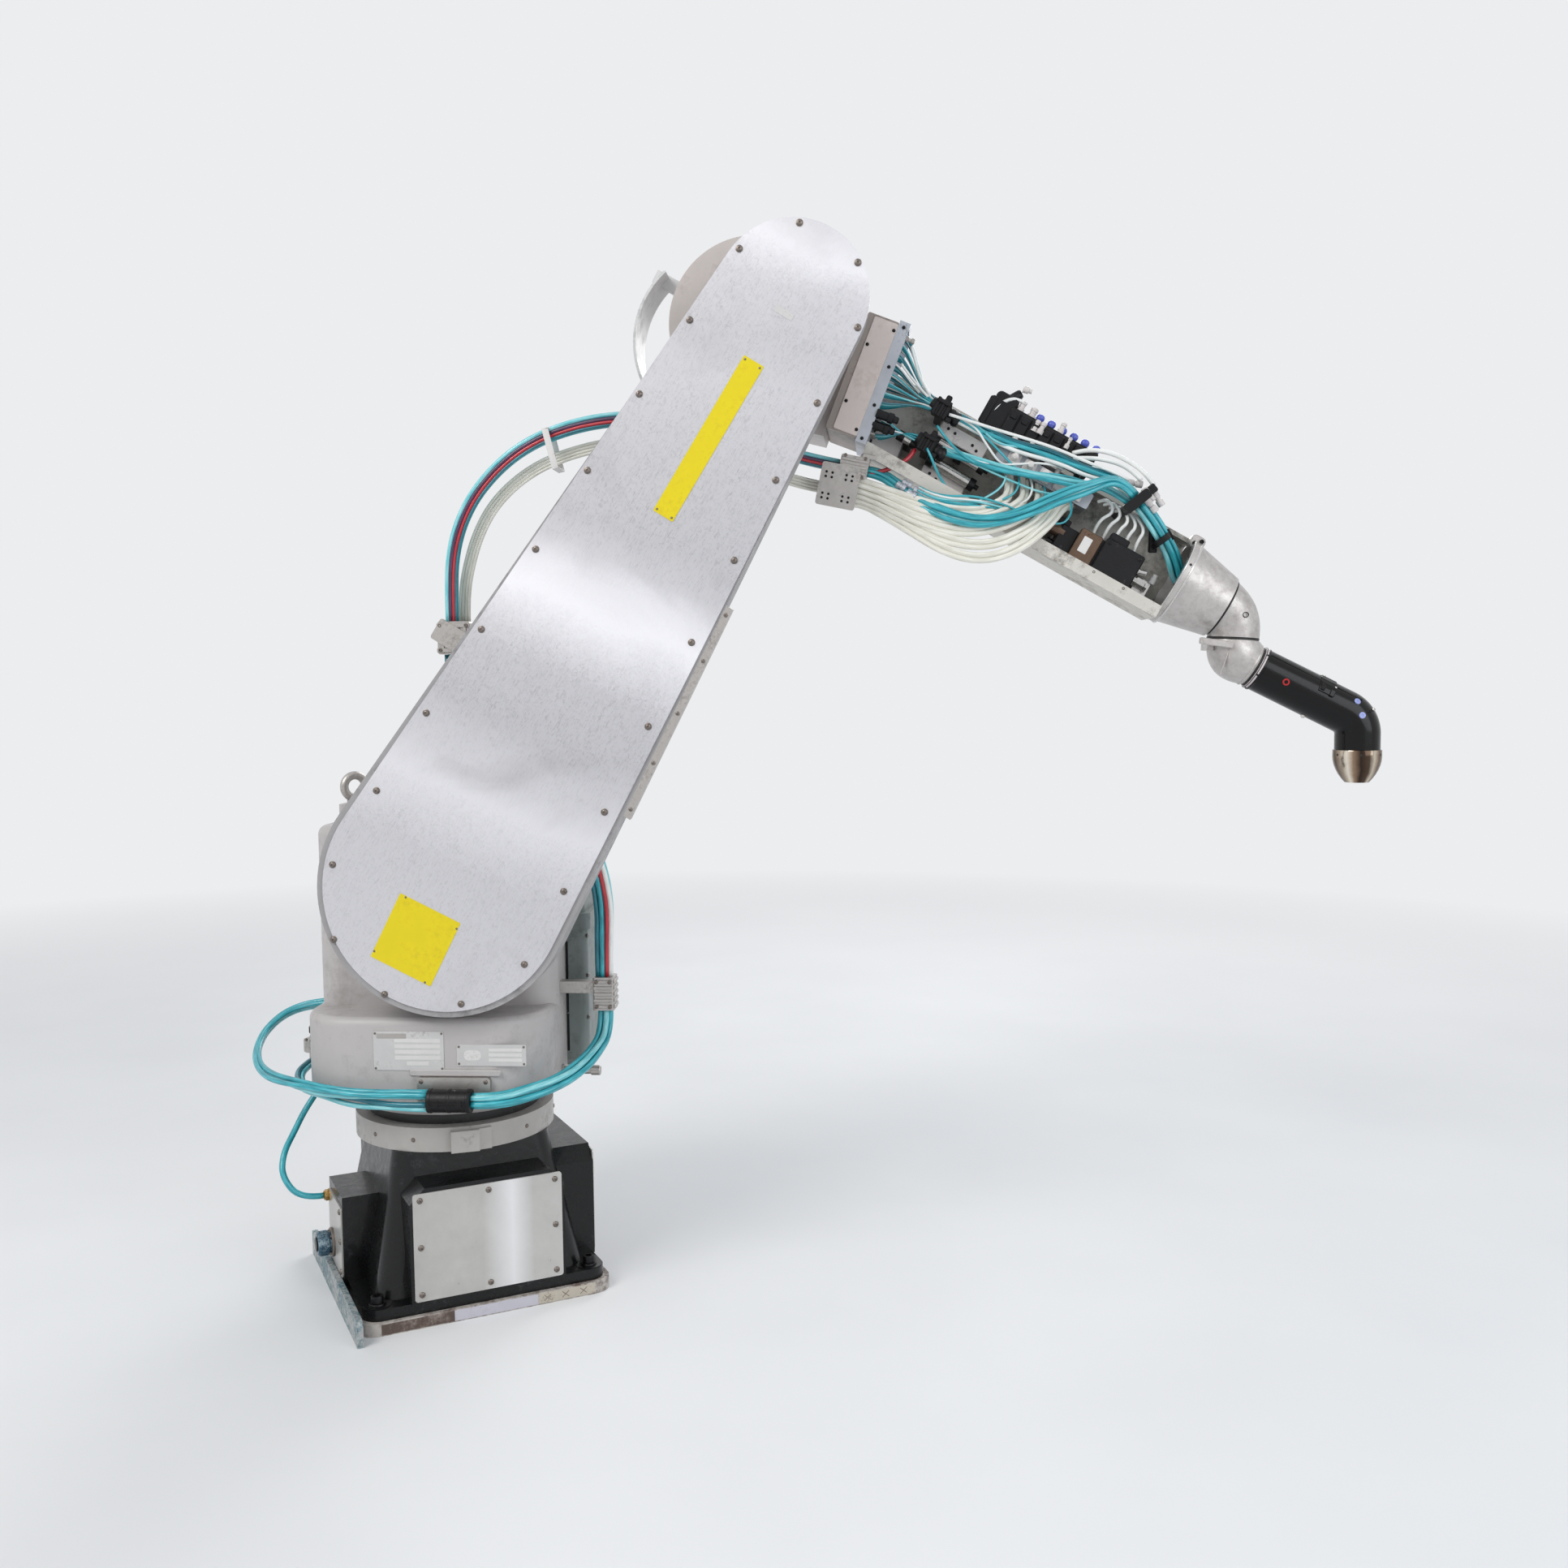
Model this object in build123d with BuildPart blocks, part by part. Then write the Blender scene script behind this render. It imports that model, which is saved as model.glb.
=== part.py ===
"""Six-axis painting robot on a bolted foot: base, turret, inner arm, forearm and hollow wrist.

Frame: the turret's swivel axis is Z and the origin lies on it, on the underside of the base plate.
X points to the right of the arm's plane, Y points away from the side that the arm hangs on.
All sizes are in millimetres and degrees.
"""
from build123d import *
from math import asin, cos, radians, sin, tan
import os

os.makedirs("parts", exist_ok=True)

# Running clearances
seat_gap = 0.3
seam_gap = 5.0

# Foot: plate, locating bar, casting, covers
base_turn = 30.0
plate_t = 25.0
plate_corner = 40.0
bar_t = 12.0
bar_h = 52.0
bar_front = 290.0
bar_back = 240.0
foot_t = 23.0
foot_corner = 34.0
bolt_pad_r = 27.0
pad_t = 1.0
bolt_head_r = 13.0
bolt_head_h = 18.0
body_top_side = 322.0
body_corner = 42.0
body_top_z = 323.0
box_w = 312.0
box_reach = 250.0
box_low_z = 46.0
box_top_z = 275.0
box_shoulder = 30.0
inlet_box_w = 150.0
inlet_box_top_z = 222.0
inlet_box_proud = 4.0
cover_w = 300.0
cover_h = 215.0
cover_mid_z = 159.0
cover_t = 3.0
inlet_cover_w = 140.0
inlet_cover_h = 146.0
inlet_cover_mid_z = 127.0
connector_r = 25.0
connector_len = 36.0
connector_across = 30.0
connector_z = 97.0
gland_r = 13.0
gland_len = 12.0
gland_across = 60.0
gland_z = 188.0

# The plate ends at the inlet cover's face; flange, bolts and casting follow the plate's edge
plate_side = 2 * (box_reach + inlet_box_proud + cover_t)
foot_side = plate_side - 22.0
foot_bolt_place = foot_side / 2 - 30.0
body_low_side = foot_side - 68.0

# Swivel: stop ring and bearing
ring_r = 205.0
ring_h = 49.0
stop_block_w = 56.0
stop_block_depth = 12.0
stop_block_turn = -69.0
stop_groove_w = 26.0
stop_groove_turn = -58.0
bearing_r = 178.0
bearing_h = 20.0

# Turret
turret_left = -262.0
turret_right = 236.0
turret_front = -215.0
turret_rear = 215.0
turret_corner = 110.0
turret_skirt_z = 428.0
turret_foot_r = 186.0
shelf_z = 596.0
shelf_round = 16.0
head_front = -95.0
head_top_z = 965.0
head_corner = 60.0
head_round = 20.0
drive_w = 46.0
drive_front = 30.0
drive_rear = 170.0
drive_low_z = 440.0
drive_band_z = 732.0
drive_band_h = 34.0
drive_top_z = 860.0
drive_round = 18.0

# Lifting eye, regulator and hose holders on the turret
eye_x = -234.0
eye_y = 100.0
eye_pad_w = 58.0
eye_pad_h = 31.0
eye_collar_h = 8.0
eye_ring_r = 24.0
eye_wire_r = 9.0
eye_turn = 45.0
regulator_x = -300.0
regulator_y = 20.0
regulator_r = 22.0
regulator_low_z = 440.0
regulator_flange_z = 472.0
regulator_flange_t = 24.0
regulator_flange_r = 33.0
regulator_cap_h = 35.0
clamp_x = 330.0
clamp_y = -20.0
clamp_w = 44.0
clamp_d = 48.0
clamp_low_z = 574.0
clamp_h = 69.0
clamp_bracket_w = 26.0
clamp_bracket_h = 24.0
sleeve_x = 63.0
sleeve_z = 441.0
sleeve_plane_y = -250.0
sleeve_r = 24.0
sleeve_len = 87.0
sleeve_bracket_w = 147.0
sleeve_bracket_z = 430.0
sleeve_bracket_h = 50.0

# Shoulder and elbow axes, inner arm
shoulder_x = 62.0
shoulder_z = 857.0
shoulder_hub_r = 168.0
arm_lean = 58.1
arm_length = 1300.0
routed_arm_length = 1300.0
arm_front = -256.0
arm_cover_t = 4.0
arm_back = -190.0
cover_low_r = 238.0
cover_high_r = 144.0
casting_low_r = 250.0
casting_high_r = 141.0
boss_low_r = 120.0
boss_high_r = 100.0
boss_back = -120.0
strip_start = 308.0
strip_end = 752.0
strip_w = 15.0
strip_depth = 20.0

# Arm's hose clamp, upright on the arm's left edge
arm_clamp_x = 76.0
arm_clamp_y = -156.0
arm_clamp_z = 1344.0
arm_clamp_w = 64.0
arm_clamp_h = 64.0
arm_clamp_d = 56.0
arm_bracket_t = 6.0
arm_bracket_a = 420.0
arm_bracket_l = 232.0
arm_bracket_w = 44.0
arm_bracket_h = 106.0
arm_rib_t = 8.0
arm_rib_w = 120.0
joint_cut_y = -125.0
swivel_cut_z = 382.0

# Forearm: s runs along it from the elbow axis, t is square to it and up
forearm_drop = 30.0
drum_s = -64.0
drum_t = -52.0
drum_r = 168.0
elbow_front = -112.0
elbow_rear = 105.0
elbow_hub_r = 104.0
elbow_cover_r = 172.0
elbow_cover_t = 3.0
neck_front = -66.0
neck_rear = 92.0
neck_len = 130.0
drum_cap_t = 6.0
guard_w = 120.0
guard_t = 5.0
guard_rear = 45.0
guard_tip = (-274.0, -43.0)
guard_mid = (-262.0, -190.0)
guard_foot = (-169.0, -273.0)
guard_arm_w = 24.0
guard_arm_h = 26.0
guard_arm_reach = 70.0
valve_box_s = 167.0
valve_box_t = -35.0
valve_box_w = 64.0
valve_box_h = 236.0
valve_box_front = -95.0
valve_box_tilt = 8.5
bulkhead_t = 22.0
bulkhead_h = 246.0
bulkhead_recess = 14.0
bulkhead_recess_mid = 34.0
bulkhead_recess_h = 160.0
beam_end_s = 900.0
beam_low_t = -163.5
beam_high_t = 16.5
beam_front = -80.0
beam_rear = 80.0
beam_wall = 9.0
beam_lip_h = 25.0
beam_top_front = 15.0
manifold_start_s = 403.0
manifold_end_s = 650.0
manifold_h = 58.0
manifold_front = 15.0
manifold_rear = 75.0
knob_r = 8.5
knob_len = 10.0
knob_start_s = 512.0
knob_pitch = 26.0
valve_start_s = 700.0
valve_end_s = 826.0
valve_low_t = -150.0
valve_high_t = -80.0
valve_front = -65.0
header_start_s = 470.0
header_end_s = 680.0
header_low_t = -40.0
header_high_t = -8.0
header_front = -30.0
clamp_turn = 18.0
clamp_s = 239.25
clamp_t = -196.34
upper_clamp_w = 56.0
upper_clamp_h = 42.0
lower_clamp_w = 60.0
lower_clamp_h = 52.0
lower_clamp_shift = -22.0
clamp_front = -96.0
clamp_rear = -24.0
clamp_plate_t = 5.0
clamp_plate_w = 78.0
clamp_plate_h = 84.0
clamp_foot_s = 249.0
clamp_foot_w = 20.0
clamp_foot_h = 12.0
upper_gather = (332.0, -10.0)
lower_gather = (341.0, -83.0)
gather_w = 34.0
gather_h = 32.0
gather_front = -62.0
gather_rear = -28.0
gather_mid_y = -45.0
fan_upper = 34.0
fan_lower = -50.0
fan_middle = -34.0
fan_depth = 82.0
fan_h = 60.0
strap_s = 757.0
strap_t = 18.0
strap_turn = -22.0
strap_w = 20.0
strap_low = -34.0
strap_high = 24.0
strap_front = -92.0
strap_post_h = 14.0
strap_rear = -28.0
strap_inner_y = -44.0
strap_outer_y = -74.0

# Three-roll wrist
wrist_t = -73.5
housing_mouth_r = 90.0
housing_end_r = 65.0
housing_end_s = 1013.0
housing_flange_s = 915.0
mouth_bore_r = 74.0
mouth_floor_s = 962.0
hose_web_t = 12.0
wrist_bend = 63.3
wrist_wall = 9.0
journal_len = 16.0
journal_wall = 8.0
seam_1_r = 58.5
seam_2_s = 1065.2
seam_2_t = -113.8
seam_2_r = 51.0
seam_3_s = 1132.0
seam_3_t = -144.0
seam_3_r = 43.0
elbow_1_mid_s = 1048.1
elbow_1_mid_t = -88.8
elbow_1_mid_r = 54.2
elbow_2_mid_s = 1089.5
elbow_2_mid_t = -142.0
elbow_2_mid_r = 53.0
lug_shift = 6.0
lug_w = 64.0
lug_h = 14.0
lug_t = 17.0
tool_drop = 27.1
cup_depth = 30.0
cup_wall = 3.0

# Paint applicator
tool_ring_r = 45.0
tool_ring_t = 6.0
tool_r = 44.0
tool_bend_r = 50.0
nozzle_reach = 200.0
nozzle_drop = 61.6
shroud_r = 47.0
shroud_mouth_r = 23.0
shroud_h = 66.0
shroud_straight = 16.0
bell_r = 16.0
bell_bore_r = 13.0
bell_bore_depth = 15.0

# Hoses: outer sizes of each bundle
base_hose_d = 13.0
loop_hose_d = 22.0
turret_hose_d = 38.0
shoulder_hose_d = 40.0
elbow_hose_d = 28.0
ribbon_hose_d = 24.0
sag_hose_d = 28.0
teal_hose_d = 28.0
wrist_hose_d = 38.0

side = Plane.XZ
base_frame = Plane.XY.rotated((0, 0, base_turn))
arm_frame = Plane(
    origin=(shoulder_x, 0, shoulder_z),
    x_dir=(cos(radians(arm_lean)), 0, sin(radians(arm_lean))),
    z_dir=(0, -1, 0),
)
elbow_x = shoulder_x + arm_length * cos(radians(arm_lean))
elbow_z = shoulder_z + arm_length * sin(radians(arm_lean))
along = Vector(cos(radians(forearm_drop)), 0, -sin(radians(forearm_drop)))
across = Vector(sin(radians(forearm_drop)), 0, cos(radians(forearm_drop)))
forearm_frame = Plane(origin=(elbow_x, 0, elbow_z), x_dir=along, z_dir=(0, -1, 0))
box_frame = Plane(forearm_frame.location * Location((valve_box_s, valve_box_t, 0), (0, 0, valve_box_tilt)))
clamp_frame = Plane(forearm_frame.location * Location((clamp_s, clamp_t, 0), (0, 0, clamp_turn)))


def forearm_point(s, t, y):
    """A point given along the forearm, square to it, and across the machine."""
    place = Vector(elbow_x, y, elbow_z) + along * s + across * t
    return (place.X, place.Y, place.Z)


def cross_plane(s, t, turn):
    """A plane square to the wrist at (s, t), its normal turned by so many degrees from the forearm."""
    normal = along * cos(radians(turn)) + across * sin(radians(turn))
    return Plane(origin=forearm_point(s, t, 0), x_dir=(0, 1, 0), z_dir=normal)


def base_side(quarter):
    """Upright plane through the swivel axis facing a side of the foot: 0 front, 1 right, 2 rear, 3 left."""
    turned = base_frame.rotated((0, 0, 90 * quarter))
    return Plane(origin=(0, 0, 0), x_dir=turned.x_dir, z_dir=-turned.y_dir)


def clamp_point(x, z, y):
    """A point given in the tilted frame of the forearm's hose clamp."""
    place = clamp_frame.from_local_coords((x, z, -y))
    return (place.X, place.Y, place.Z)


def strap_point(x, z, y):
    """A point given in the tilted frame of the first hose strap."""
    place = strap_frame.from_local_coords((x, z, -y))
    return (place.X, place.Y, place.Z)


def finish(name, part):
    """Label a finished piece and write it to its own file."""
    part.part.label = name
    export_step(part.part, f"parts/{name}.step")


def capsule(low_r, high_r, length):
    """Outline of two unequal round ends joined by their common tangents, along local X."""
    lean = asin((low_r - high_r) / length)
    low = (low_r * sin(lean), low_r * cos(lean))
    high = (length + high_r * sin(lean), high_r * cos(lean))
    with BuildLine() as edge:
        ThreePointArc((low[0], -low[1]), (-low_r, 0), low)
        Line(low, high)
        ThreePointArc(high, (length + high_r, 0), (high[0], -high[1]))
        Line((high[0], -high[1]), (low[0], -low[1]))
    make_face(edge.edges())


def carried(points, first=1.0, last=1.0):
    """Route points moved along with the elbow, by a share that grows evenly from the first to the last."""
    elbow_moves = arm_frame.x_dir * (arm_length - routed_arm_length)
    moved = []
    for i, point in enumerate(points):
        share = first + (last - first) * i / (len(points) - 1)
        place = Vector(*point) + elbow_moves * share
        moved.append((place.X, place.Y, place.Z))
    return moved


def bend_radii(points):
    """One radius for each corner of a hose's route, as large as its two runs allow."""
    radii = []
    for before, corner, after in zip(points, points[1:], points[2:]):
        run_in = Vector(*corner) - Vector(*before)
        run_out = Vector(*after) - Vector(*corner)
        turn = run_in.get_angle(run_out)
        radii.append(0.45 * min(run_in.length, run_out.length) / tan(radians(turn / 2)))
    return radii


def hose(name, points, diameter):
    """A plain tube of one outer size along straight runs joined by tangent arcs."""
    radii = bend_radii(points)
    with BuildPart() as tube:
        with BuildLine() as route:
            FilletPolyline(*points, radius=radii)
        with BuildSketch(Plane(origin=route.line @ 0, z_dir=route.line % 0)):
            Circle(diameter / 2)
        sweep()
    runs = [(Vector(*b) - Vector(*a)).length for a, b in zip(points, points[1:])]
    length = sum(edge.length for edge in route.edges())
    share = tube.part.volume / (3.14159265 * (diameter / 2) ** 2 * length)
    print(f"{name}: length {length:.0f}, tightest {min(radii):.0f}, "
          f"runs {min(runs):.0f} to {max(runs):.0f}, volume share {share:.4f}")
    return tube


# Base plate, with its rounded corners
with BuildPart() as base_plate:
    with BuildSketch(base_frame):
        RectangleRounded(plate_side, plate_side, plate_corner)
    extrude(amount=plate_t)
finish("base_plate", base_plate)

# Locating bar along the plate's left edge, its front end rounded off
with BuildPart() as locating_bar:
    with BuildSketch(base_frame):
        with Locations((-plate_side / 2 - bar_t / 2, (bar_back - bar_front) / 2)):
            Rectangle(bar_t, bar_back + bar_front)
    extrude(amount=bar_h)
    front_edge = locating_bar.edges().filter_by(GeomType.LINE).filter_by(
        lambda e: abs(e.length - bar_t) < 0.01).group_by(Axis.Z)[-1].sort_by(Axis.Y)[0]
    fillet(front_edge, radius=18)
finish("locating_bar", locating_bar)

# Foot casting: flange with bolt pads, tapered body and the boxes that carry the covers
foot_top_z = plate_t + foot_t
inlet_box_reach = box_reach + inlet_box_proud
with BuildPart() as base_casting:
    with BuildSketch(base_frame.offset(plate_t)):
        RectangleRounded(foot_side, foot_side, foot_corner)
    extrude(amount=foot_t)
    with BuildSketch(base_frame.offset(foot_top_z)):
        RectangleRounded(body_low_side, body_low_side, body_corner)
    with BuildSketch(base_frame.offset(body_top_z)):
        RectangleRounded(body_top_side, body_top_side, body_corner)
    loft()
    for quarter in (0, 1, 2):
        with BuildSketch(base_side(quarter)):
            with BuildLine():
                Polyline(
                    (-box_w / 2, box_low_z), (box_w / 2, box_low_z), (box_w / 2, box_top_z - box_shoulder),
                    (box_w / 2 - box_shoulder, box_top_z), (-box_w / 2 + box_shoulder, box_top_z),
                    (-box_w / 2, box_top_z - box_shoulder), close=True)
            make_face()
        extrude(amount=box_reach)
    with BuildSketch(base_side(3)):
        with Locations((0, (box_low_z + inlet_box_top_z) / 2)):
            Rectangle(inlet_box_w, inlet_box_top_z - box_low_z)
    extrude(amount=inlet_box_reach)
    with BuildSketch(base_frame.offset(foot_top_z)):
        with GridLocations(2 * foot_bolt_place, 2 * foot_bolt_place, 2, 2):
            Circle(bolt_pad_r)
    extrude(amount=pad_t)
finish("base_casting", base_casting)

# Foot bolts, one on each pad of the flange
with BuildPart() as foot_bolts:
    with BuildSketch(base_frame.offset(foot_top_z + pad_t)):
        with GridLocations(2 * foot_bolt_place, 2 * foot_bolt_place, 2, 2):
            RegularPolygon(bolt_head_r, 6)
    extrude(amount=bolt_head_h)
finish("foot_bolts", foot_bolts)

# Cover plates on the front, right and rear boxes, and the smaller one on the inlet box
with BuildPart() as base_front_cover:
    with BuildSketch(base_side(0).offset(box_reach)):
        with Locations((0, cover_mid_z)):
            RectangleRounded(cover_w, cover_h, 6)
    extrude(amount=cover_t)
finish("base_front_cover", base_front_cover)

with BuildPart() as base_side_covers:
    for quarter in (1, 2):
        with BuildSketch(base_side(quarter).offset(box_reach)):
            with Locations((0, cover_mid_z)):
                RectangleRounded(cover_w, cover_h, 6)
        extrude(amount=cover_t)
    with BuildSketch(base_side(3).offset(inlet_box_reach)):
        with Locations((0, inlet_cover_mid_z)):
            RectangleRounded(inlet_cover_w, inlet_cover_h, 6)
    extrude(amount=cover_t)
finish("base_side_covers", base_side_covers)

# Cable connector and hose gland on the inlet side of the foot
inlet_face = inlet_box_reach + cover_t
with BuildPart() as base_connector:
    with BuildSketch(base_side(3).offset(inlet_face)):
        with Locations((-connector_across, connector_z)):
            Circle(connector_r + 5)
    extrude(amount=6)
    with BuildSketch(base_side(3).offset(inlet_face)):
        with Locations((-connector_across, connector_z)):
            Circle(connector_r)
    extrude(amount=connector_len)
finish("base_connector", base_connector)

with BuildPart() as base_gland:
    with BuildSketch(base_side(3).offset(inlet_face)):
        with Locations((-gland_across, gland_z)):
            RegularPolygon(gland_r, 6)
    extrude(amount=gland_len)
finish("base_gland", base_gland)

# Swivel stop ring with its proud stop block and the grooved block beside it
ring_top_z = body_top_z + ring_h
with BuildPart() as stop_ring:
    with BuildSketch(Plane.XY.offset(body_top_z)):
        Circle(ring_r)
    extrude(amount=ring_h)
    with BuildSketch(Plane.XY.offset(body_top_z).rotated((0, 0, stop_block_turn))):
        with Locations((ring_r + stop_block_depth / 2 - 10, 0)):
            Rectangle(stop_block_depth + 20, stop_block_w)
    extrude(amount=ring_h - 6)
    with BuildSketch(Plane.XY.offset(body_top_z).rotated((0, 0, stop_groove_turn))):
        with Locations((ring_r - 4, 0)):
            Rectangle(20, stop_groove_w)
    extrude(amount=ring_h - 6)
finish("stop_ring", stop_ring)

# Swivel bearing, the dark band under the turret
swivel_z = ring_top_z + bearing_h
with BuildPart() as swivel_bearing:
    with BuildSketch(Plane.XY.offset(ring_top_z)):
        Circle(bearing_r)
    extrude(amount=bearing_h)
finish("swivel_bearing", swivel_bearing)

# Turret: skirt that widens from the bearing, full column up to the shelf, narrower head behind it
turret_mid_x = (turret_left + turret_right) / 2
turret_w = turret_right - turret_left
turret_d = turret_rear - turret_front
with BuildPart() as turret_column:
    with BuildSketch(Plane.XY.offset(swivel_z + seat_gap)):
        RectangleRounded(2 * turret_foot_r, 2 * turret_foot_r - 8, turret_foot_r - 12)
    with BuildSketch(Plane.XY.offset(turret_skirt_z)):
        with Locations((turret_mid_x, 0)):
            RectangleRounded(turret_w, turret_d, turret_corner)
    loft()
    with BuildSketch(Plane.XY.offset(turret_skirt_z)):
        with Locations((turret_mid_x, 0)):
            RectangleRounded(turret_w, turret_d, turret_corner)
    extrude(amount=shelf_z - turret_skirt_z)
    fillet(turret_column.faces().sort_by(Axis.Z)[-1].edges(), radius=shelf_round)
    with BuildSketch(Plane.XY.offset(shelf_z - shelf_round)) as head_plan:
        with Locations((turret_mid_x, (head_front + turret_rear) / 2)):
            Rectangle(turret_w, turret_rear - head_front)
        fillet(head_plan.vertices().group_by(Axis.Y)[-1], radius=turret_corner)
        fillet(head_plan.vertices().group_by(Axis.Y)[0], radius=head_corner)
    extrude(amount=head_top_z - shelf_z + shelf_round)
    fillet(turret_column.faces().sort_by(Axis.Z)[-1].edges(), radius=head_round)
    with BuildSketch(Plane.XY.offset(head_top_z)):
        with Locations((eye_x, eye_y)):
            RectangleRounded(eye_pad_w, eye_pad_w, 12)
    extrude(amount=eye_pad_h)
finish("turret_column", turret_column)

# Shoulder hub on the head's front face
with BuildPart() as shoulder_hub:
    with BuildSketch(side.offset(-head_front)):
        with Locations((shoulder_x, shoulder_z)):
            Circle(shoulder_hub_r)
    extrude(amount=-boss_back - seat_gap + head_front)
finish("shoulder_hub", shoulder_hub)

# Upright drive unit beside the turret: body, proud band, narrower cap
with BuildPart() as turret_drive:
    with BuildSketch(Plane.XY.offset(drive_low_z)) as drive_plan:
        with Locations((turret_right + drive_w / 2, (drive_front + drive_rear) / 2)):
            Rectangle(drive_w, drive_rear - drive_front)
        fillet(drive_plan.vertices().group_by(Axis.X)[-1], radius=drive_round)
    extrude(amount=drive_band_z - drive_low_z)
    with BuildSketch(Plane.XY.offset(drive_band_z)) as band_plan:
        with Locations((turret_right + drive_w / 2 + 4, (drive_front + drive_rear) / 2)):
            Rectangle(drive_w + 8, drive_rear - drive_front + 12)
        fillet(band_plan.vertices().group_by(Axis.X)[-1], radius=drive_round)
    extrude(amount=drive_band_h)
    with BuildSketch(Plane.XY.offset(drive_band_z + drive_band_h)) as cap_plan:
        with Locations((turret_right + drive_w / 2 - 3, (drive_front + drive_rear) / 2)):
            Rectangle(drive_w - 6, drive_rear - drive_front - 16)
        fillet(cap_plan.vertices().group_by(Axis.X)[-1], radius=drive_round - 4)
    extrude(amount=drive_top_z - drive_band_z - drive_band_h)
    fillet(turret_drive.faces().sort_by(Axis.Z)[-1].edges(), radius=6)
finish("turret_drive", turret_drive)

# Lifting eye on the turret's pad, its ring turned out of the arm's plane
eye_seat_z = head_top_z + eye_pad_h
with BuildPart() as lifting_eye:
    with BuildSketch(Plane.XY.offset(eye_seat_z)):
        with Locations((eye_x, eye_y)):
            Circle(eye_wire_r + 8)
    extrude(amount=eye_collar_h)
    ring_place = Plane(origin=(eye_x, eye_y, eye_seat_z + eye_collar_h + eye_ring_r + eye_wire_r - 4),
                       x_dir=(cos(radians(eye_turn)), sin(radians(eye_turn)), 0),
                       z_dir=(-sin(radians(eye_turn)), cos(radians(eye_turn)), 0))
    with Locations(ring_place):
        Torus(eye_ring_r, eye_wire_r)
finish("lifting_eye", lifting_eye)

# Air regulator hung beside the turret's left face on a bracket
with BuildPart() as regulator:
    with BuildSketch(Plane.XY.offset(regulator_low_z)):
        with Locations((regulator_x, regulator_y)):
            Circle(regulator_r)
    extrude(amount=regulator_flange_z - regulator_low_z)
    with BuildSketch(Plane.XY.offset(regulator_flange_z)):
        with Locations((regulator_x, regulator_y)):
            Circle(regulator_flange_r)
    extrude(amount=regulator_flange_t)
    with BuildSketch(Plane.XY.offset(regulator_flange_z + regulator_flange_t)):
        with Locations((regulator_x, regulator_y)):
            Circle(regulator_r - 3)
    extrude(amount=regulator_cap_h)
    with BuildSketch(Plane.XY.offset(regulator_flange_z + 6)):
        with Locations(((turret_left + regulator_x) / 2, regulator_y)):
            Rectangle(turret_left - regulator_x, 44)
    extrude(amount=10)
finish("regulator", regulator)

# Hose clamp on the turret's right side, an upright block on a flat bracket
with BuildPart() as turret_hose_clamp:
    with BuildSketch(Plane.XY.offset(clamp_low_z)):
        with Locations((clamp_x, clamp_y)):
            RectangleRounded(clamp_w, clamp_d, 5)
    extrude(amount=clamp_h)
    with BuildSketch(Plane.XY.offset(clamp_low_z + clamp_h / 2)):
        with Locations(((turret_right + clamp_x) / 2, clamp_y)):
            Rectangle(clamp_x - turret_right, clamp_bracket_w)
    extrude(amount=clamp_bracket_h)
finish("turret_hose_clamp", turret_hose_clamp)

# Bracket plate on the turret's front and the sleeve that gathers the hoses
with BuildPart() as sleeve_bracket:
    with BuildSketch(side.offset(-turret_front)):
        with Locations((sleeve_x, sleeve_bracket_z + sleeve_bracket_h / 2)):
            RectangleRounded(sleeve_bracket_w, sleeve_bracket_h, 6)
    extrude(amount=turret_front - sleeve_plane_y - sleeve_r - seat_gap)
finish("sleeve_bracket", sleeve_bracket)

with BuildPart() as hose_sleeve:
    with BuildSketch(Plane.YZ.offset(sleeve_x - sleeve_len / 2)):
        with Locations((sleeve_plane_y, sleeve_z)):
            Circle(sleeve_r)
    extrude(amount=sleeve_len)
finish("hose_sleeve", hose_sleeve)

# Inner arm's casting: a flat tapered shell, a stiffening rib and the two bosses on its back
with BuildPart() as arm_housing:
    with BuildSketch(arm_frame.offset(-arm_back)):
        capsule(casting_low_r, casting_high_r, arm_length)
    extrude(amount=arm_back - arm_front - arm_cover_t)
    with BuildSketch(arm_frame.offset(-arm_back - arm_rib_t)):
        with Locations((arm_length / 2, 0)):
            RectangleRounded(arm_length - 300, arm_rib_w, 50)
    extrude(amount=arm_rib_t)
    with BuildSketch(arm_frame.offset(-boss_back)):
        Circle(boss_low_r)
        with Locations((arm_length, 0)):
            Circle(boss_high_r)
    extrude(amount=boss_back - arm_back)
finish("arm_housing", arm_housing)

# Sheet cover over the whole front of the inner arm
with BuildPart() as arm_cover:
    with BuildSketch(arm_frame.offset(-arm_front - arm_cover_t)):
        capsule(cover_low_r, cover_high_r, arm_length)
    extrude(amount=arm_cover_t)
finish("arm_cover", arm_cover)

# Guard strip along the arm's right edge
edge_lean = asin((casting_low_r - casting_high_r) / arm_length)
with BuildPart() as arm_edge_strip:
    with BuildSketch(arm_frame.offset(-arm_front - arm_cover_t - strip_depth)):
        with BuildLine():
            Polyline(
                (strip_start, -casting_low_r / cos(edge_lean) + strip_start * tan(edge_lean)),
                (strip_end, -casting_low_r / cos(edge_lean) + strip_end * tan(edge_lean)),
                (strip_end, -casting_low_r / cos(edge_lean) + strip_end * tan(edge_lean) - strip_w),
                (strip_start, -casting_low_r / cos(edge_lean) + strip_start * tan(edge_lean) - strip_w),
                close=True)
        make_face()
    extrude(amount=strip_depth)
finish("arm_edge_strip", arm_edge_strip)

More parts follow.
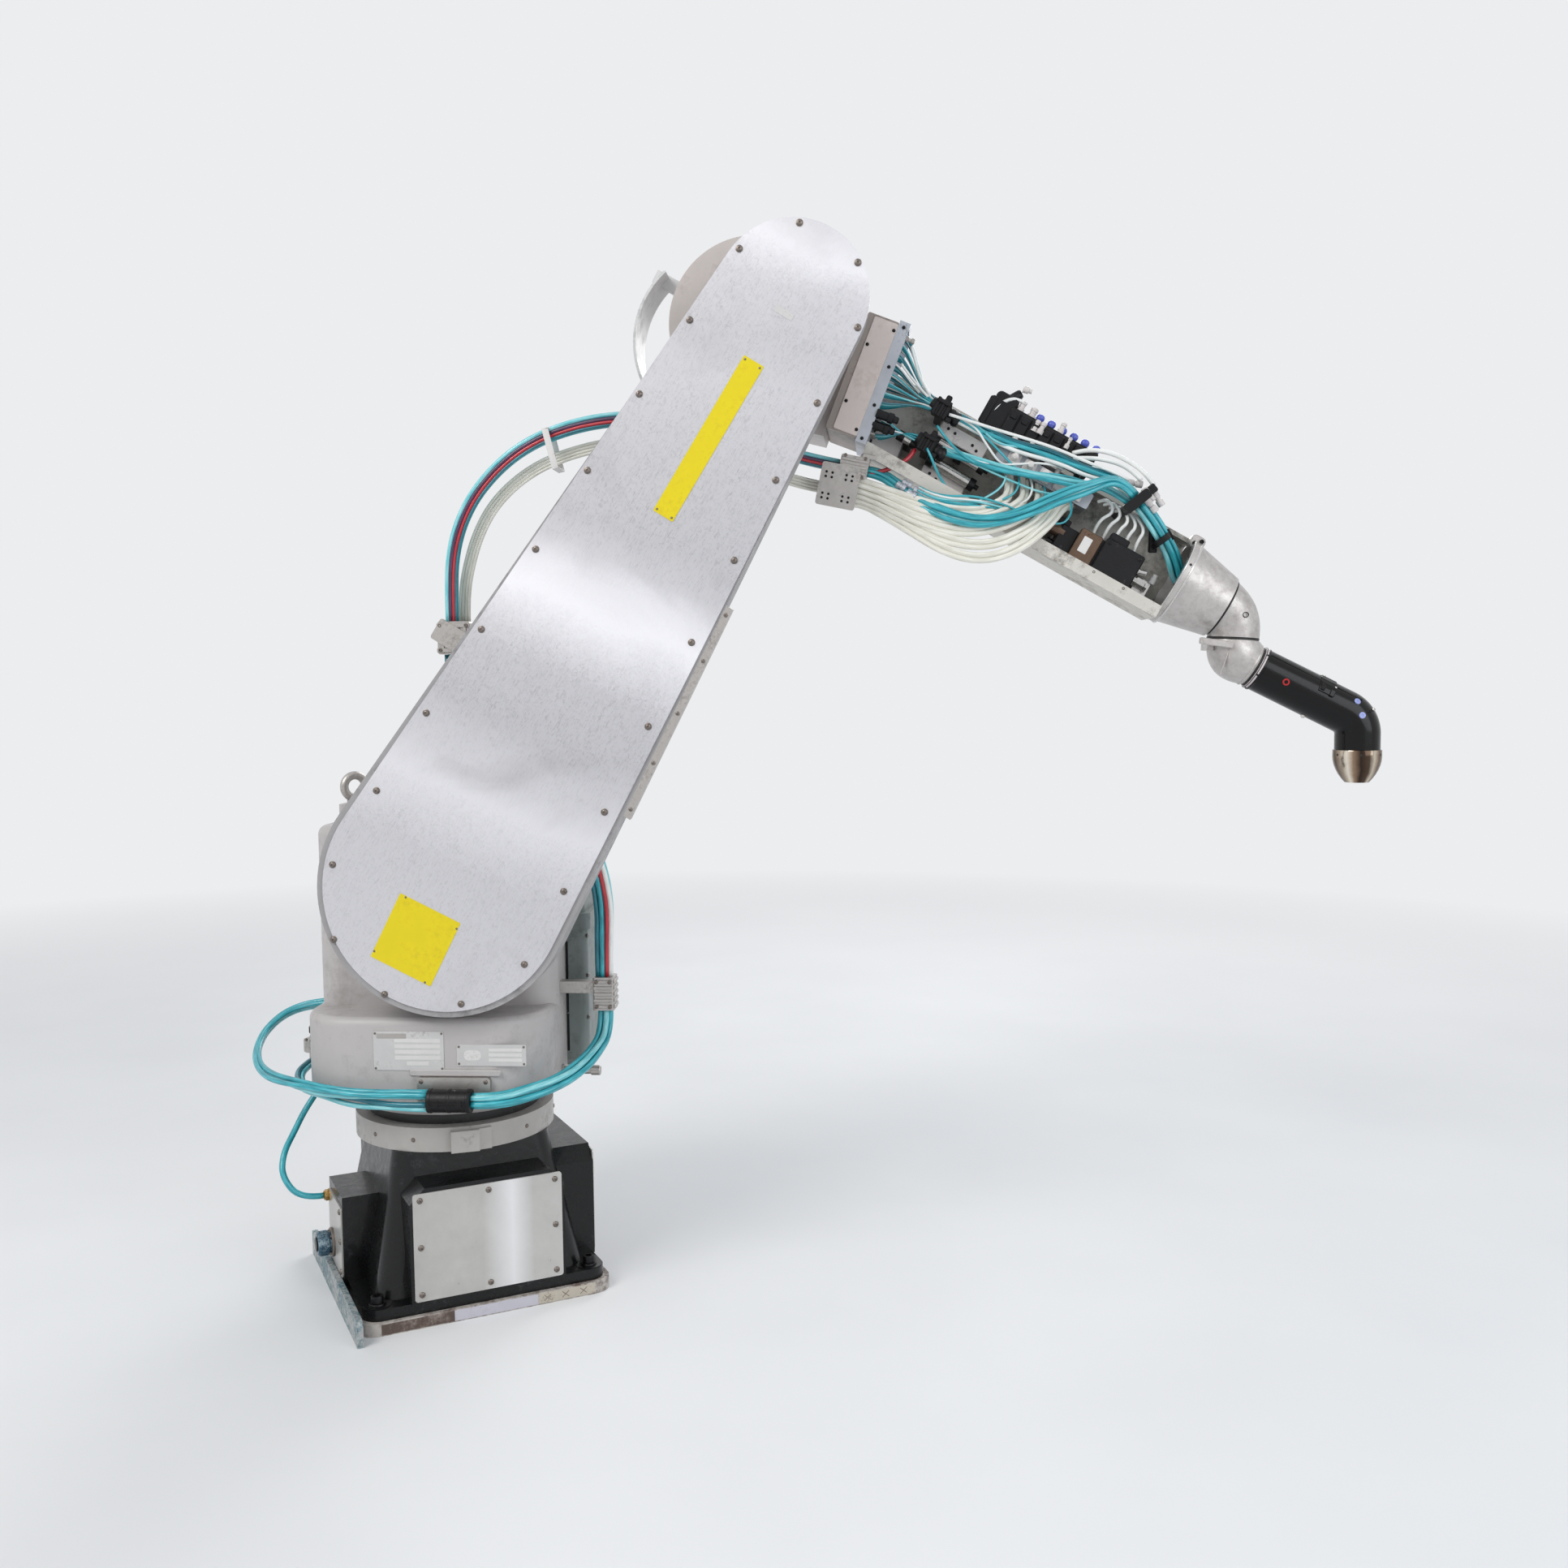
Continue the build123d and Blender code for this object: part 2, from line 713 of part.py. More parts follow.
# Hose clamp behind the arm's left edge, an upright block on a bracket plate
with BuildPart() as arm_hose_clamp:
    with BuildSketch(side.offset(-arm_clamp_y - arm_clamp_d / 2)):
        with Locations((arm_clamp_x, arm_clamp_z)):
            RectangleRounded(arm_clamp_w, arm_clamp_h, 5)
    extrude(amount=arm_clamp_d)
    with BuildSketch(arm_frame.offset(-arm_back - arm_bracket_t)):
        with Locations((arm_bracket_a, arm_bracket_l)):
            RectangleRounded(arm_bracket_w, arm_bracket_h, 5)
    extrude(amount=arm_bracket_t)
finish("arm_hose_clamp", arm_hose_clamp)

# Elbow casting: drum, hub towards the inner arm and the neck that carries the valve box
with BuildPart() as elbow_housing:
    with BuildSketch(forearm_frame.offset(-elbow_rear)):
        with Locations((drum_s, drum_t)):
            Circle(drum_r)
    extrude(amount=elbow_rear - elbow_front)
    with BuildSketch(forearm_frame.offset(-elbow_front - 4)):
        Circle(elbow_hub_r)
    extrude(amount=4 + elbow_front - boss_back - seat_gap)
    with BuildSketch(box_frame.offset(-neck_rear)):
        with BuildLine():
            Polyline(
                (-valve_box_w / 2, -valve_box_h / 2 - 14), (-valve_box_w / 2, valve_box_h / 2 - 4),
                (-valve_box_w / 2 - neck_len, valve_box_h / 2 - 16),
                (-valve_box_w / 2 - neck_len, -valve_box_h / 2 - 30), close=True)
        make_face()
    extrude(amount=neck_rear - neck_front)
finish("elbow_housing", elbow_housing)

# Raised round cover on the far end of the elbow's drum
with BuildPart() as elbow_drum:
    with BuildSketch(forearm_frame.offset(-elbow_rear - drum_cap_t)):
        with Locations((drum_s, drum_t)):
            Circle(drum_r - 14)
    extrude(amount=drum_cap_t)
finish("elbow_drum", elbow_drum)

# Curved guard sheet around the elbow, on two short arms from the drum
with BuildPart() as elbow_guard:
    with BuildSketch(forearm_frame.offset(-guard_rear)):
        with BuildLine():
            outer = ThreePointArc(guard_tip, guard_mid, guard_foot)
            inner = offset(outer, amount=-guard_t, side=Side.RIGHT)
        make_face()
    extrude(amount=guard_w)
    with BuildSketch(forearm_frame.offset(guard_w / 2 - guard_rear - guard_arm_w / 2)):
        with Locations((drum_s, drum_t)):
            with Locations((-(drum_r + guard_arm_reach) / 2, 0)):
                Rectangle(drum_r + guard_arm_reach, guard_arm_h)
    extrude(amount=guard_arm_w)
    with BuildSketch(forearm_frame.offset(-elbow_rear)):
        with Locations((drum_s, drum_t)):
            Circle(drum_r + seat_gap)
    extrude(amount=elbow_rear - elbow_front, mode=Mode.SUBTRACT)
finish("elbow_guard", elbow_guard)

# Valve box at the end of the neck, and the flanged bulkhead that the small tubes leave from
with BuildPart() as valve_box:
    with BuildSketch(box_frame.offset(valve_box_front)):
        RectangleRounded(valve_box_w, valve_box_h, 4)
    extrude(amount=-2 * valve_box_front)
finish("valve_box", valve_box)

with BuildPart() as bulkhead_plate:
    with BuildSketch(box_frame.offset(valve_box_front - 2)):
        with Locations((valve_box_w / 2 + bulkhead_t / 2, 0)):
            Rectangle(bulkhead_t, bulkhead_h)
    extrude(amount=-2 * valve_box_front + 4)
    with BuildSketch(box_frame.offset(valve_box_front + 2)):
        with Locations((valve_box_w / 2 + bulkhead_t - bulkhead_recess / 2, bulkhead_recess_mid)):
            Rectangle(bulkhead_recess, bulkhead_recess_h)
    extrude(amount=-2 * valve_box_front - 4, mode=Mode.SUBTRACT)
finish("bulkhead_plate", bulkhead_plate)

# Forearm beam: a channel open to the front, cut at the bulkhead's slant
bulkhead_face = Plane(box_frame.location * Location((valve_box_w / 2 + bulkhead_t, 0, 0), (0, 90, 0)))
with BuildPart() as forearm_beam:
    with BuildSketch(forearm_frame.offset(-beam_rear)):
        with Locations(((beam_end_s + valve_box_s) / 2, (beam_low_t + beam_high_t) / 2)):
            Rectangle(beam_end_s - valve_box_s, beam_high_t - beam_low_t)
    extrude(amount=beam_wall)
    with BuildSketch(forearm_frame.offset(-beam_rear)):
        with Locations(((beam_end_s + valve_box_s) / 2, beam_low_t + beam_wall / 2)):
            Rectangle(beam_end_s - valve_box_s, beam_wall)
    extrude(amount=beam_rear - beam_front)
    with BuildSketch(forearm_frame.offset(-beam_rear)):
        with Locations(((beam_end_s + valve_box_s) / 2, beam_high_t - beam_wall / 2)):
            Rectangle(beam_end_s - valve_box_s, beam_wall)
    extrude(amount=beam_rear - beam_top_front)
    with BuildSketch(forearm_frame.offset(-beam_front - beam_wall)):
        with Locations(((beam_end_s + valve_box_s) / 2, beam_low_t + beam_lip_h / 2)):
            Rectangle(beam_end_s - valve_box_s, beam_lip_h)
    extrude(amount=beam_wall)
    split(bisect_by=bulkhead_face, keep=Keep.TOP)
finish("forearm_beam", forearm_beam)

# Valve manifold on the beam's top flange with its row of knobs
with BuildPart() as manifold:
    with BuildSketch(forearm_frame.offset(-manifold_rear)):
        with Locations(((manifold_start_s + manifold_end_s) / 2, beam_high_t + manifold_h / 2)):
            RectangleRounded(manifold_end_s - manifold_start_s, manifold_h, 4)
    extrude(amount=manifold_rear - manifold_front)
finish("manifold", manifold)

manifold_top = Plane(origin=forearm_point(0, beam_high_t + manifold_h, 0), x_dir=along, z_dir=across)
with BuildPart() as manifold_knobs:
    with BuildSketch(manifold_top):
        with Locations((knob_start_s + 2.5 * knob_pitch, (manifold_front + manifold_rear) / 2)):
            with GridLocations(knob_pitch, 0, 6, 1):
                Circle(knob_r)
    extrude(amount=knob_len)
finish("manifold_knobs", manifold_knobs)

# Valve block and the fitting row, both on the beam's web
with BuildPart() as valve_block:
    with BuildSketch(forearm_frame.offset(beam_wall - beam_rear)):
        with Locations(((valve_start_s + valve_end_s) / 2, (valve_low_t + valve_high_t) / 2)):
            Rectangle(valve_end_s - valve_start_s, valve_high_t - valve_low_t)
    extrude(amount=beam_rear - beam_wall - valve_front)
finish("valve_block", valve_block)

with BuildPart() as fitting_row:
    with BuildSketch(forearm_frame.offset(beam_wall - beam_rear)):
        with Locations(((header_start_s + header_end_s) / 2, (header_low_t + header_high_t) / 2)):
            RectangleRounded(header_end_s - header_start_s, header_high_t - header_low_t, 4)
    extrude(amount=beam_rear - beam_wall - header_front)
finish("fitting_row", fitting_row)

# Two-part hose clamp under the beam's inner end, with its drilled front plate
with BuildPart() as forearm_hose_clamp:
    with BuildSketch(clamp_frame.offset(-clamp_rear)):
        RectangleRounded(upper_clamp_w, upper_clamp_h, 4)
        with Locations((lower_clamp_shift, -(upper_clamp_h + lower_clamp_h) / 2)):
            Rectangle(lower_clamp_w, lower_clamp_h)
    extrude(amount=clamp_rear - clamp_front)
    with BuildSketch(forearm_frame.offset(-clamp_rear)):
        with Locations((clamp_foot_s, beam_low_t - clamp_foot_h / 2)):
            Rectangle(clamp_foot_w, clamp_foot_h)
    extrude(amount=clamp_rear - clamp_front - 26)
finish("forearm_hose_clamp", forearm_hose_clamp)

with BuildPart() as clamp_plate:
    with BuildSketch(clamp_frame.offset(-clamp_front)):
        with Locations((lower_clamp_shift, -(upper_clamp_h + lower_clamp_h) / 2 + 4)):
            RectangleRounded(clamp_plate_w, clamp_plate_h, 5)
    extrude(amount=clamp_plate_t)
finish("clamp_plate", clamp_plate)

# Clamps that gather the small tubes into the two upper bundles, each on a post from the web
with BuildPart() as tube_clamps:
    for clamp_s, clamp_t in (upper_gather, lower_gather):
        with BuildSketch(forearm_frame.offset(-gather_rear)):
            with Locations((clamp_s, clamp_t)):
                RectangleRounded(gather_w, gather_h, 5)
        extrude(amount=gather_rear - gather_front)
        with BuildSketch(forearm_frame.offset(beam_wall - beam_rear)):
            with Locations((clamp_s, clamp_t - 6)):
                Rectangle(14, 14)
        extrude(amount=beam_rear - beam_wall - gather_rear)
finish("tube_clamps", tube_clamps)

# Small tubes as two tapered bundles between the bulkhead and the clamps
fan_start = Plane(box_frame.location * Location((valve_box_w / 2 + bulkhead_t + seat_gap, 0, 0), (0, 90, 0)))
with BuildPart() as fan_tubes:
    for (clamp_s, clamp_t), fan_high in ((upper_gather, fan_upper), (lower_gather, fan_lower)):
        with BuildSketch(fan_start):
            with Locations((fan_middle, fan_high)):
                RectangleRounded(fan_depth, fan_h, 10)
        with BuildSketch(cross_plane(clamp_s - gather_w / 2 - seat_gap, clamp_t, 0)):
            with Locations((gather_mid_y, 0)):
                RectangleRounded(24, 24, 11)
        loft()
finish("fan_tubes", fan_tubes)

# Straps that hold the teal bundles on their way to the wrist
strap_frame = Plane(forearm_frame.location * Location((strap_s, strap_t, 0), (0, 0, strap_turn)))
with BuildPart() as hose_straps:
    with BuildSketch(strap_frame.offset(-strap_rear)):
        with Locations((0, (strap_low + strap_high) / 2)):
            RectangleRounded(strap_w, strap_high - strap_low, 5)
    extrude(amount=strap_rear - strap_front)
    with BuildSketch(strap_frame.offset(beam_wall - beam_rear)):
        with Locations((0, strap_low + strap_post_h / 2)):
            Rectangle(strap_w - 4, strap_post_h)
    extrude(amount=beam_rear - beam_wall - strap_rear)
finish("hose_straps", hose_straps)

# Wrist housing: mounting flange, cone, open mouth, web that the hoses pass, seat for the first roll
with BuildPart() as wrist_housing:
    with BuildSketch(cross_plane(beam_end_s, wrist_t, 0)):
        Circle(housing_mouth_r)
    extrude(amount=housing_flange_s - beam_end_s)
    with BuildSketch(cross_plane(housing_flange_s, wrist_t, 0)):
        Circle(housing_mouth_r - 4)
    with BuildSketch(cross_plane(housing_end_s, wrist_t, 0)):
        Circle(housing_end_r)
    loft()
    with BuildSketch(cross_plane(beam_end_s, wrist_t, 0)):
        Circle(mouth_bore_r)
    with BuildSketch(cross_plane(mouth_floor_s, wrist_t, 0)):
        Circle(mouth_bore_r - 10)
    loft(mode=Mode.SUBTRACT)
    with BuildSketch(cross_plane(mouth_floor_s, wrist_t, 0)):
        Circle(wrist_hose_d / 2 + 1)
    extrude(amount=hose_web_t, mode=Mode.SUBTRACT)
    with BuildSketch(cross_plane(mouth_floor_s + hose_web_t, wrist_t, 0)):
        Circle(seam_1_r - wrist_wall + seat_gap)
    extrude(amount=housing_end_s - mouth_floor_s - hose_web_t, mode=Mode.SUBTRACT)
finish("wrist_housing", wrist_housing)

# First wrist elbow: hollow, seated in the housing, its far end turned to the second roll's axis
seam_2 = cross_plane(seam_2_s, seam_2_t, -wrist_bend)
elbow_1_start_s = housing_end_s + seam_gap
with BuildPart() as wrist_elbow_1:
    with BuildSketch(cross_plane(elbow_1_start_s, wrist_t, 0)):
        Circle(seam_1_r)
    with BuildSketch(cross_plane(elbow_1_mid_s, elbow_1_mid_t, -wrist_bend / 2)):
        Circle(elbow_1_mid_r)
    with BuildSketch(seam_2):
        Circle(seam_2_r)
    loft()
    with BuildSketch(cross_plane(elbow_1_start_s, wrist_t, 0)):
        Circle(seam_1_r - wrist_wall)
    extrude(amount=-journal_len - seam_gap)
    with BuildSketch(cross_plane(elbow_1_start_s, wrist_t, 0)):
        Circle(seam_1_r - wrist_wall - journal_wall)
    extrude(amount=-journal_len - seam_gap, mode=Mode.SUBTRACT)
    with BuildSketch(cross_plane(elbow_1_start_s, wrist_t, 0)):
        Circle(seam_1_r - wrist_wall - journal_wall)
    with BuildSketch(cross_plane(elbow_1_mid_s, elbow_1_mid_t, -wrist_bend / 2)):
        Circle(elbow_1_mid_r - wrist_wall - 4)
    with BuildSketch(seam_2):
        Circle(seam_2_r - wrist_wall + seat_gap)
    loft(mode=Mode.SUBTRACT)
    with BuildSketch(seam_2):
        Circle(seam_2_r - 1 - wrist_wall + seat_gap)
    extrude(amount=-journal_len - 1, mode=Mode.SUBTRACT)
finish("wrist_elbow_1", wrist_elbow_1)

# Second wrist elbow: hollow, seated in the first, its far end turned back along the forearm
elbow_2_start = seam_2.offset(seam_gap)
elbow_2_end = cross_plane(seam_3_s - seam_gap, seam_3_t, 0)
with BuildPart() as wrist_elbow_2:
    with BuildSketch(elbow_2_start):
        Circle(seam_2_r - 1)
    with BuildSketch(cross_plane(elbow_2_mid_s, elbow_2_mid_t, -wrist_bend / 2)):
        Circle(elbow_2_mid_r)
    with BuildSketch(elbow_2_end):
        Circle(seam_3_r - 1)
    loft()
    with BuildSketch(elbow_2_start):
        Circle(seam_2_r - 1 - wrist_wall)
    extrude(amount=-journal_len - seam_gap)
    with BuildSketch(elbow_2_start):
        Circle(seam_2_r - wrist_wall - journal_wall)
    extrude(amount=-journal_len - seam_gap, mode=Mode.SUBTRACT)
    with BuildSketch(elbow_2_start):
        Circle(seam_2_r - wrist_wall - journal_wall)
    with BuildSketch(cross_plane(elbow_2_mid_s, elbow_2_mid_t, -wrist_bend / 2)):
        Circle(elbow_2_mid_r - wrist_wall - 6)
    with BuildSketch(elbow_2_end):
        Circle(seam_3_r - wrist_wall + seat_gap)
    loft(mode=Mode.SUBTRACT)
    with BuildSketch(elbow_2_end):
        Circle(seam_3_r - wrist_wall + seat_gap)
    extrude(amount=-journal_len - 1, mode=Mode.SUBTRACT)
    with BuildSketch(elbow_2_start.offset(lug_shift)):
        with Locations((0, -seam_2_r + 2)):
            RectangleRounded(lug_w, lug_h, 4)
    extrude(amount=lug_t)
finish("wrist_elbow_2", wrist_elbow_2)

# White ring that the applicator is clamped to, with the journal of the last roll
with BuildPart() as tool_ring:
    with BuildSketch(cross_plane(seam_3_s, seam_3_t, 0)):
        Circle(tool_ring_r)
    extrude(amount=tool_ring_t)
    with BuildSketch(cross_plane(seam_3_s, seam_3_t, 0)):
        Circle(seam_3_r - wrist_wall)
    extrude(amount=-journal_len - seam_gap)
    with BuildSketch(cross_plane(seam_3_s, seam_3_t, 0)):
        Circle(seam_3_r - wrist_wall - journal_wall)
    extrude(amount=-journal_len - seam_gap, mode=Mode.SUBTRACT)
finish("tool_ring", tool_ring)

# Paint applicator: a tube along the forearm that bends down to the nozzle
tool_start = Vector(*forearm_point(seam_3_s + tool_ring_t, seam_3_t, 0))
nozzle_x = tool_start.X + nozzle_reach
tool_corner_z = tool_start.Z - nozzle_reach * tan(radians(tool_drop))
nozzle_top_z = tool_corner_z - nozzle_drop
with BuildPart() as applicator_body:
    with BuildLine() as tool_route:
        FilletPolyline(
            (tool_start.X, 0, tool_start.Z), (nozzle_x, 0, tool_corner_z), (nozzle_x, 0, nozzle_top_z),
            radius=tool_bend_r)
    with BuildSketch(Plane(origin=tool_route.line @ 0, z_dir=tool_route.line % 0)):
        Circle(tool_r)
    sweep()
    with BuildSketch(cross_plane(seam_3_s + tool_ring_t, seam_3_t, 0)):
        Circle(tool_r - 1)
    extrude(amount=8)
    split(bisect_by=cross_plane(seam_3_s + tool_ring_t, seam_3_t, 0), keep=Keep.TOP)
finish("applicator_body", applicator_body)

# Nozzle shroud, an open cup, and the bell inside it
nozzle_plane = Plane(origin=(nozzle_x, 0, nozzle_top_z), x_dir=(1, 0, 0), z_dir=(0, 0, -1))
with BuildPart() as applicator_cup:
    with BuildSketch(nozzle_plane):
        Circle(shroud_r)
    extrude(amount=shroud_straight)
    with BuildSketch(nozzle_plane.offset(shroud_straight)):
        Circle(shroud_r)
    with BuildSketch(nozzle_plane.offset(shroud_h)):
        Circle(shroud_mouth_r)
    loft()
    with BuildSketch(nozzle_plane.offset(shroud_h - cup_depth)):
        Circle(shroud_mouth_r - cup_wall)
    extrude(amount=cup_depth, mode=Mode.SUBTRACT)
    with BuildSketch(nozzle_plane.offset(shroud_h - cup_depth)):
        Circle(bell_r)
    extrude(amount=cup_depth - 4)
    with BuildSketch(nozzle_plane.offset(shroud_h - bell_bore_depth - 4)):
        Circle(bell_bore_r)
    extrude(amount=bell_bore_depth, mode=Mode.SUBTRACT)
finish("applicator_cup", applicator_cup)

# Small hose from the regulator down to the foot's gland, cut at the swivel
regulator_low = (regulator_x, regulator_y, regulator_low_z - seat_gap)
gland_mouth = base_side(3).from_local_coords((-gland_across, gland_z, inlet_face + gland_len + seat_gap))
base_hose = hose("base_hose", [
    regulator_low,
    (-300, 20, 393), (-325, -13, 349), (-337, -44, 311), (-347, -80, 277),
    (gland_mouth.X - 78, gland_mouth.Y - 26, gland_mouth.Z + 49),
    (gland_mouth.X - 41, gland_mouth.Y - 23, gland_mouth.Z),
    (gland_mouth.X, gland_mouth.Y, gland_mouth.Z)],
    base_hose_d)
with BuildPart() as base_hose_upper:
    add(base_hose.part)
    split(bisect_by=Plane.XY.offset(swivel_cut_z + seat_gap / 2), keep=Keep.TOP)
finish("base_hose_upper", base_hose_upper)
with BuildPart() as base_hose_lower:
    add(base_hose.part)
    split(bisect_by=Plane.XY.offset(swivel_cut_z - seat_gap / 2), keep=Keep.BOTTOM)
finish("base_hose_lower", base_hose_lower)

# Bundle from the turret's clamp to the sleeve, and the two loops from the sleeve's other end
sleeve_right = sleeve_x + sleeve_len / 2 + seat_gap
sleeve_left = sleeve_x - sleeve_len / 2 - seat_gap
turret_hoses_right = hose("turret_hoses_right", [
    (clamp_x, clamp_y, clamp_low_z - seat_gap),
    (330, -20, 521), (314, -89, 491), (292, -139, 473), (260, -185, 460), (216, -221, 450),
    (160, -250, 441),
    (sleeve_right, sleeve_plane_y, sleeve_z)],
    turret_hose_d)
finish("turret_hoses_right", turret_hoses_right)

loop_up = sleeve_z + loop_hose_d / 2 + 0.6
loop_down = sleeve_z - loop_hose_d / 2 - 0.6
turret_hose_loop = hose("turret_hose_loop", [
    (sleeve_left, sleeve_plane_y, loop_up),
    (-43, -250, 453), (-116, -257, 456), (-182, -249, 458), (-245, -226, 460), (-301, -188, 461),
    (-349, -141, 464), (-390, -87, 471), (-416, -28, 487), (-422, 34, 514), (-393, 85, 543),
    (-324, 101, 558),
    (turret_left - seat_gap, 101, 558)],
    loop_hose_d)
finish("turret_hose_loop", turret_hose_loop)

regulator_hose = hose("regulator_hose", [
    (sleeve_left, sleeve_plane_y, loop_down),
    (-36, -250, 429), (-101, -237, 432), (-160, -232, 437), (-217, -213, 444), (-262, -174, 449),
    (-291, -122, 453), (-300, -58, 456),
    (regulator_x, regulator_y - regulator_r - seat_gap, 456)],
    loop_hose_d)
finish("regulator_hose", regulator_hose)

# Shoulder bundle from the turret's clamp up to the arm's clamp, cut in the plane between them
arm_clamp_low = arm_clamp_z - arm_clamp_h / 2 - seat_gap
arm_clamp_high = arm_clamp_z + arm_clamp_h / 2 + seat_gap
shoulder_hose = hose("shoulder_hose", [
    (clamp_x, clamp_y, clamp_low_z + clamp_h + seat_gap),
    (330, -20, 710), (335, -30, 787), (331, -54, 854), (321, -91, 916), (306, -132, 973),
    (277, -155, 1034), (234, -157, 1092), (182, -157, 1141), (124, -157, 1184), (70, -157, 1245),
    (arm_clamp_x - 6, -157, arm_clamp_low)],
    shoulder_hose_d)
with BuildPart() as shoulder_hoses_turret:
    add(shoulder_hose.part)
    split(bisect_by=side.offset(-joint_cut_y - seat_gap / 2), keep=Keep.BOTTOM)
finish("shoulder_hoses_turret", shoulder_hoses_turret)
with BuildPart() as shoulder_hoses_arm:
    add(shoulder_hose.part)
    split(bisect_by=side.offset(-joint_cut_y + seat_gap / 2), keep=Keep.TOP)
finish("shoulder_hoses_arm", shoulder_hoses_arm)

# Coloured bundle over the elbow, from the arm's clamp to the forearm's clamp
coloured_mid = (clamp_front + clamp_rear) / 2
elbow_hose = hose("elbow_hose", carried([
    (arm_clamp_x - 7, -164.5, arm_clamp_high),
    (69, -164, 1432), (72, -164, 1498), (87, -165, 1557), (114, -165, 1612), (152, -164, 1659),
    (199, -165, 1699), (252, -165, 1728), (310, -164, 1747), (370, -165, 1758), (431, -164, 1761),
    (491, -160, 1758), (550, -147, 1748), (604, -122, 1735), (658, -96, 1720), (713, -76, 1706),
    (775, -60, 1689)], first=0) + [clamp_point(-upper_clamp_w / 2 - seat_gap, 0, coloured_mid)],
    elbow_hose_d)
with BuildPart() as elbow_hoses_arm:
    add(elbow_hose.part)
    split(bisect_by=side.offset(-joint_cut_y + seat_gap / 2), keep=Keep.TOP)
finish("elbow_hoses_arm", elbow_hoses_arm)
with BuildPart() as elbow_hoses_forearm:
    add(elbow_hose.part)
    split(bisect_by=side.offset(-joint_cut_y - seat_gap / 2), keep=Keep.BOTTOM)
finish("elbow_hoses_forearm", elbow_hoses_forearm)

# Cream ribbon on the inside of the coloured bundle's bend
lower_clamp_z = -(upper_clamp_h + lower_clamp_h) / 2
lower_clamp_left = lower_clamp_shift - lower_clamp_w / 2
lower_clamp_right = lower_clamp_shift + lower_clamp_w / 2
elbow_ribbon = hose("elbow_ribbon", carried([
    (arm_clamp_x + 10, -138.2, arm_clamp_high),
    (86, -138, 1431), (99, -138, 1493), (118, -138, 1549), (147, -138, 1600), (188, -138, 1642),
    (237, -138, 1675), (291, -138, 1697), (349, -138, 1712), (407, -138, 1720), (466, -138, 1720),
    (524, -134, 1713), (580, -122, 1701), (634, -102, 1686), (686, -81, 1668),
    (744, -60, 1647)], first=0) + [clamp_point(lower_clamp_left - seat_gap, lower_clamp_z, coloured_mid)],
    ribbon_hose_d)
with BuildPart() as elbow_ribbon_arm:
    add(elbow_ribbon.part)
    split(bisect_by=side.offset(-joint_cut_y + seat_gap / 2), keep=Keep.TOP)
finish("elbow_ribbon_arm", elbow_ribbon_arm)
with BuildPart() as elbow_ribbon_forearm:
    add(elbow_ribbon.part)
    split(bisect_by=side.offset(-joint_cut_y - seat_gap / 2), keep=Keep.BOTTOM)
finish("elbow_ribbon_forearm", elbow_ribbon_forearm)

# Cream hoses that sag under the beam and rise behind its lip to the fitting row
cream_hoses = hose("cream_hoses", [
    clamp_point(lower_clamp_right + seat_gap, lower_clamp_z, coloured_mid)] + carried([
    (896, -60, 1615), (937, -76, 1591), (972, -87, 1568), (1007, -96, 1542), (1044, -102, 1520),
    (1086, -104, 1506), (1130, -102, 1505), (1172, -103, 1518), (1208, -100, 1543), (1233, -73, 1566),
    (1244, -14, 1582)]) + [
    forearm_point(618, header_low_t - seat_gap, header_front + 16)],
    sag_hose_d)
finish("cream_hoses", cream_hoses)

# Teal bundle that sags from the clamp and rises in front of the cream hoses to the first strap
teal_hoses_lower = hose("teal_hoses_lower", [
    clamp_point(upper_clamp_w / 2 + seat_gap, 0, coloured_mid)] + carried([
    (911, -60, 1660), (942, -68, 1636), (974, -82, 1610), (1014, -97, 1587), (1062, -106, 1568),
    (1113, -109, 1558), (1165, -110, 1564), (1214, -110, 1581), (1261, -107, 1604),
    (1310, -100, 1621), (1378, -74, 1644)]) + [
    strap_point(-strap_w / 2 - seat_gap, 0, strap_outer_y)],
    teal_hose_d)
finish("teal_hoses_lower", teal_hoses_lower)

# Teal bundle from the upper tube clamp to the first strap
teal_hoses_upper = hose("teal_hoses_upper", [
    forearm_point(upper_gather[0] + gather_w / 2 + seat_gap, upper_gather[1], gather_mid_y)] + carried([
    (1087, -45, 1754), (1135, -45, 1730), (1182, -45, 1711), (1229, -45, 1693), (1276, -45, 1676),
    (1323, -45, 1658), (1379, -44, 1642)]) + [
    strap_point(-strap_w / 2 - seat_gap, 0, strap_inner_y)],
    teal_hose_d)
finish("teal_hoses_upper", teal_hoses_upper)

# Joined bundle from the strap into the hollow wrist
strap_mid_y = (strap_outer_y + strap_inner_y) / 2
wrist_hoses = hose("wrist_hoses", [
    strap_point(strap_w / 2 + seat_gap, 0, strap_mid_y)] + carried([
    (1446, -59, 1557), (1472, -41, 1519), (1491, -22, 1482), (1509, 0, 1437)]) + [
    forearm_point(mouth_floor_s + hose_web_t, wrist_t, 0)],
    wrist_hose_d)
finish("wrist_hoses", wrist_hoses)
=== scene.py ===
"""Looks of a painting robot: camera and hoses, then the foot, turret, inner arm, elbow, forearm and wrist."""
import math
import random

import bmesh
import bpy
from mathutils import Matrix, Vector


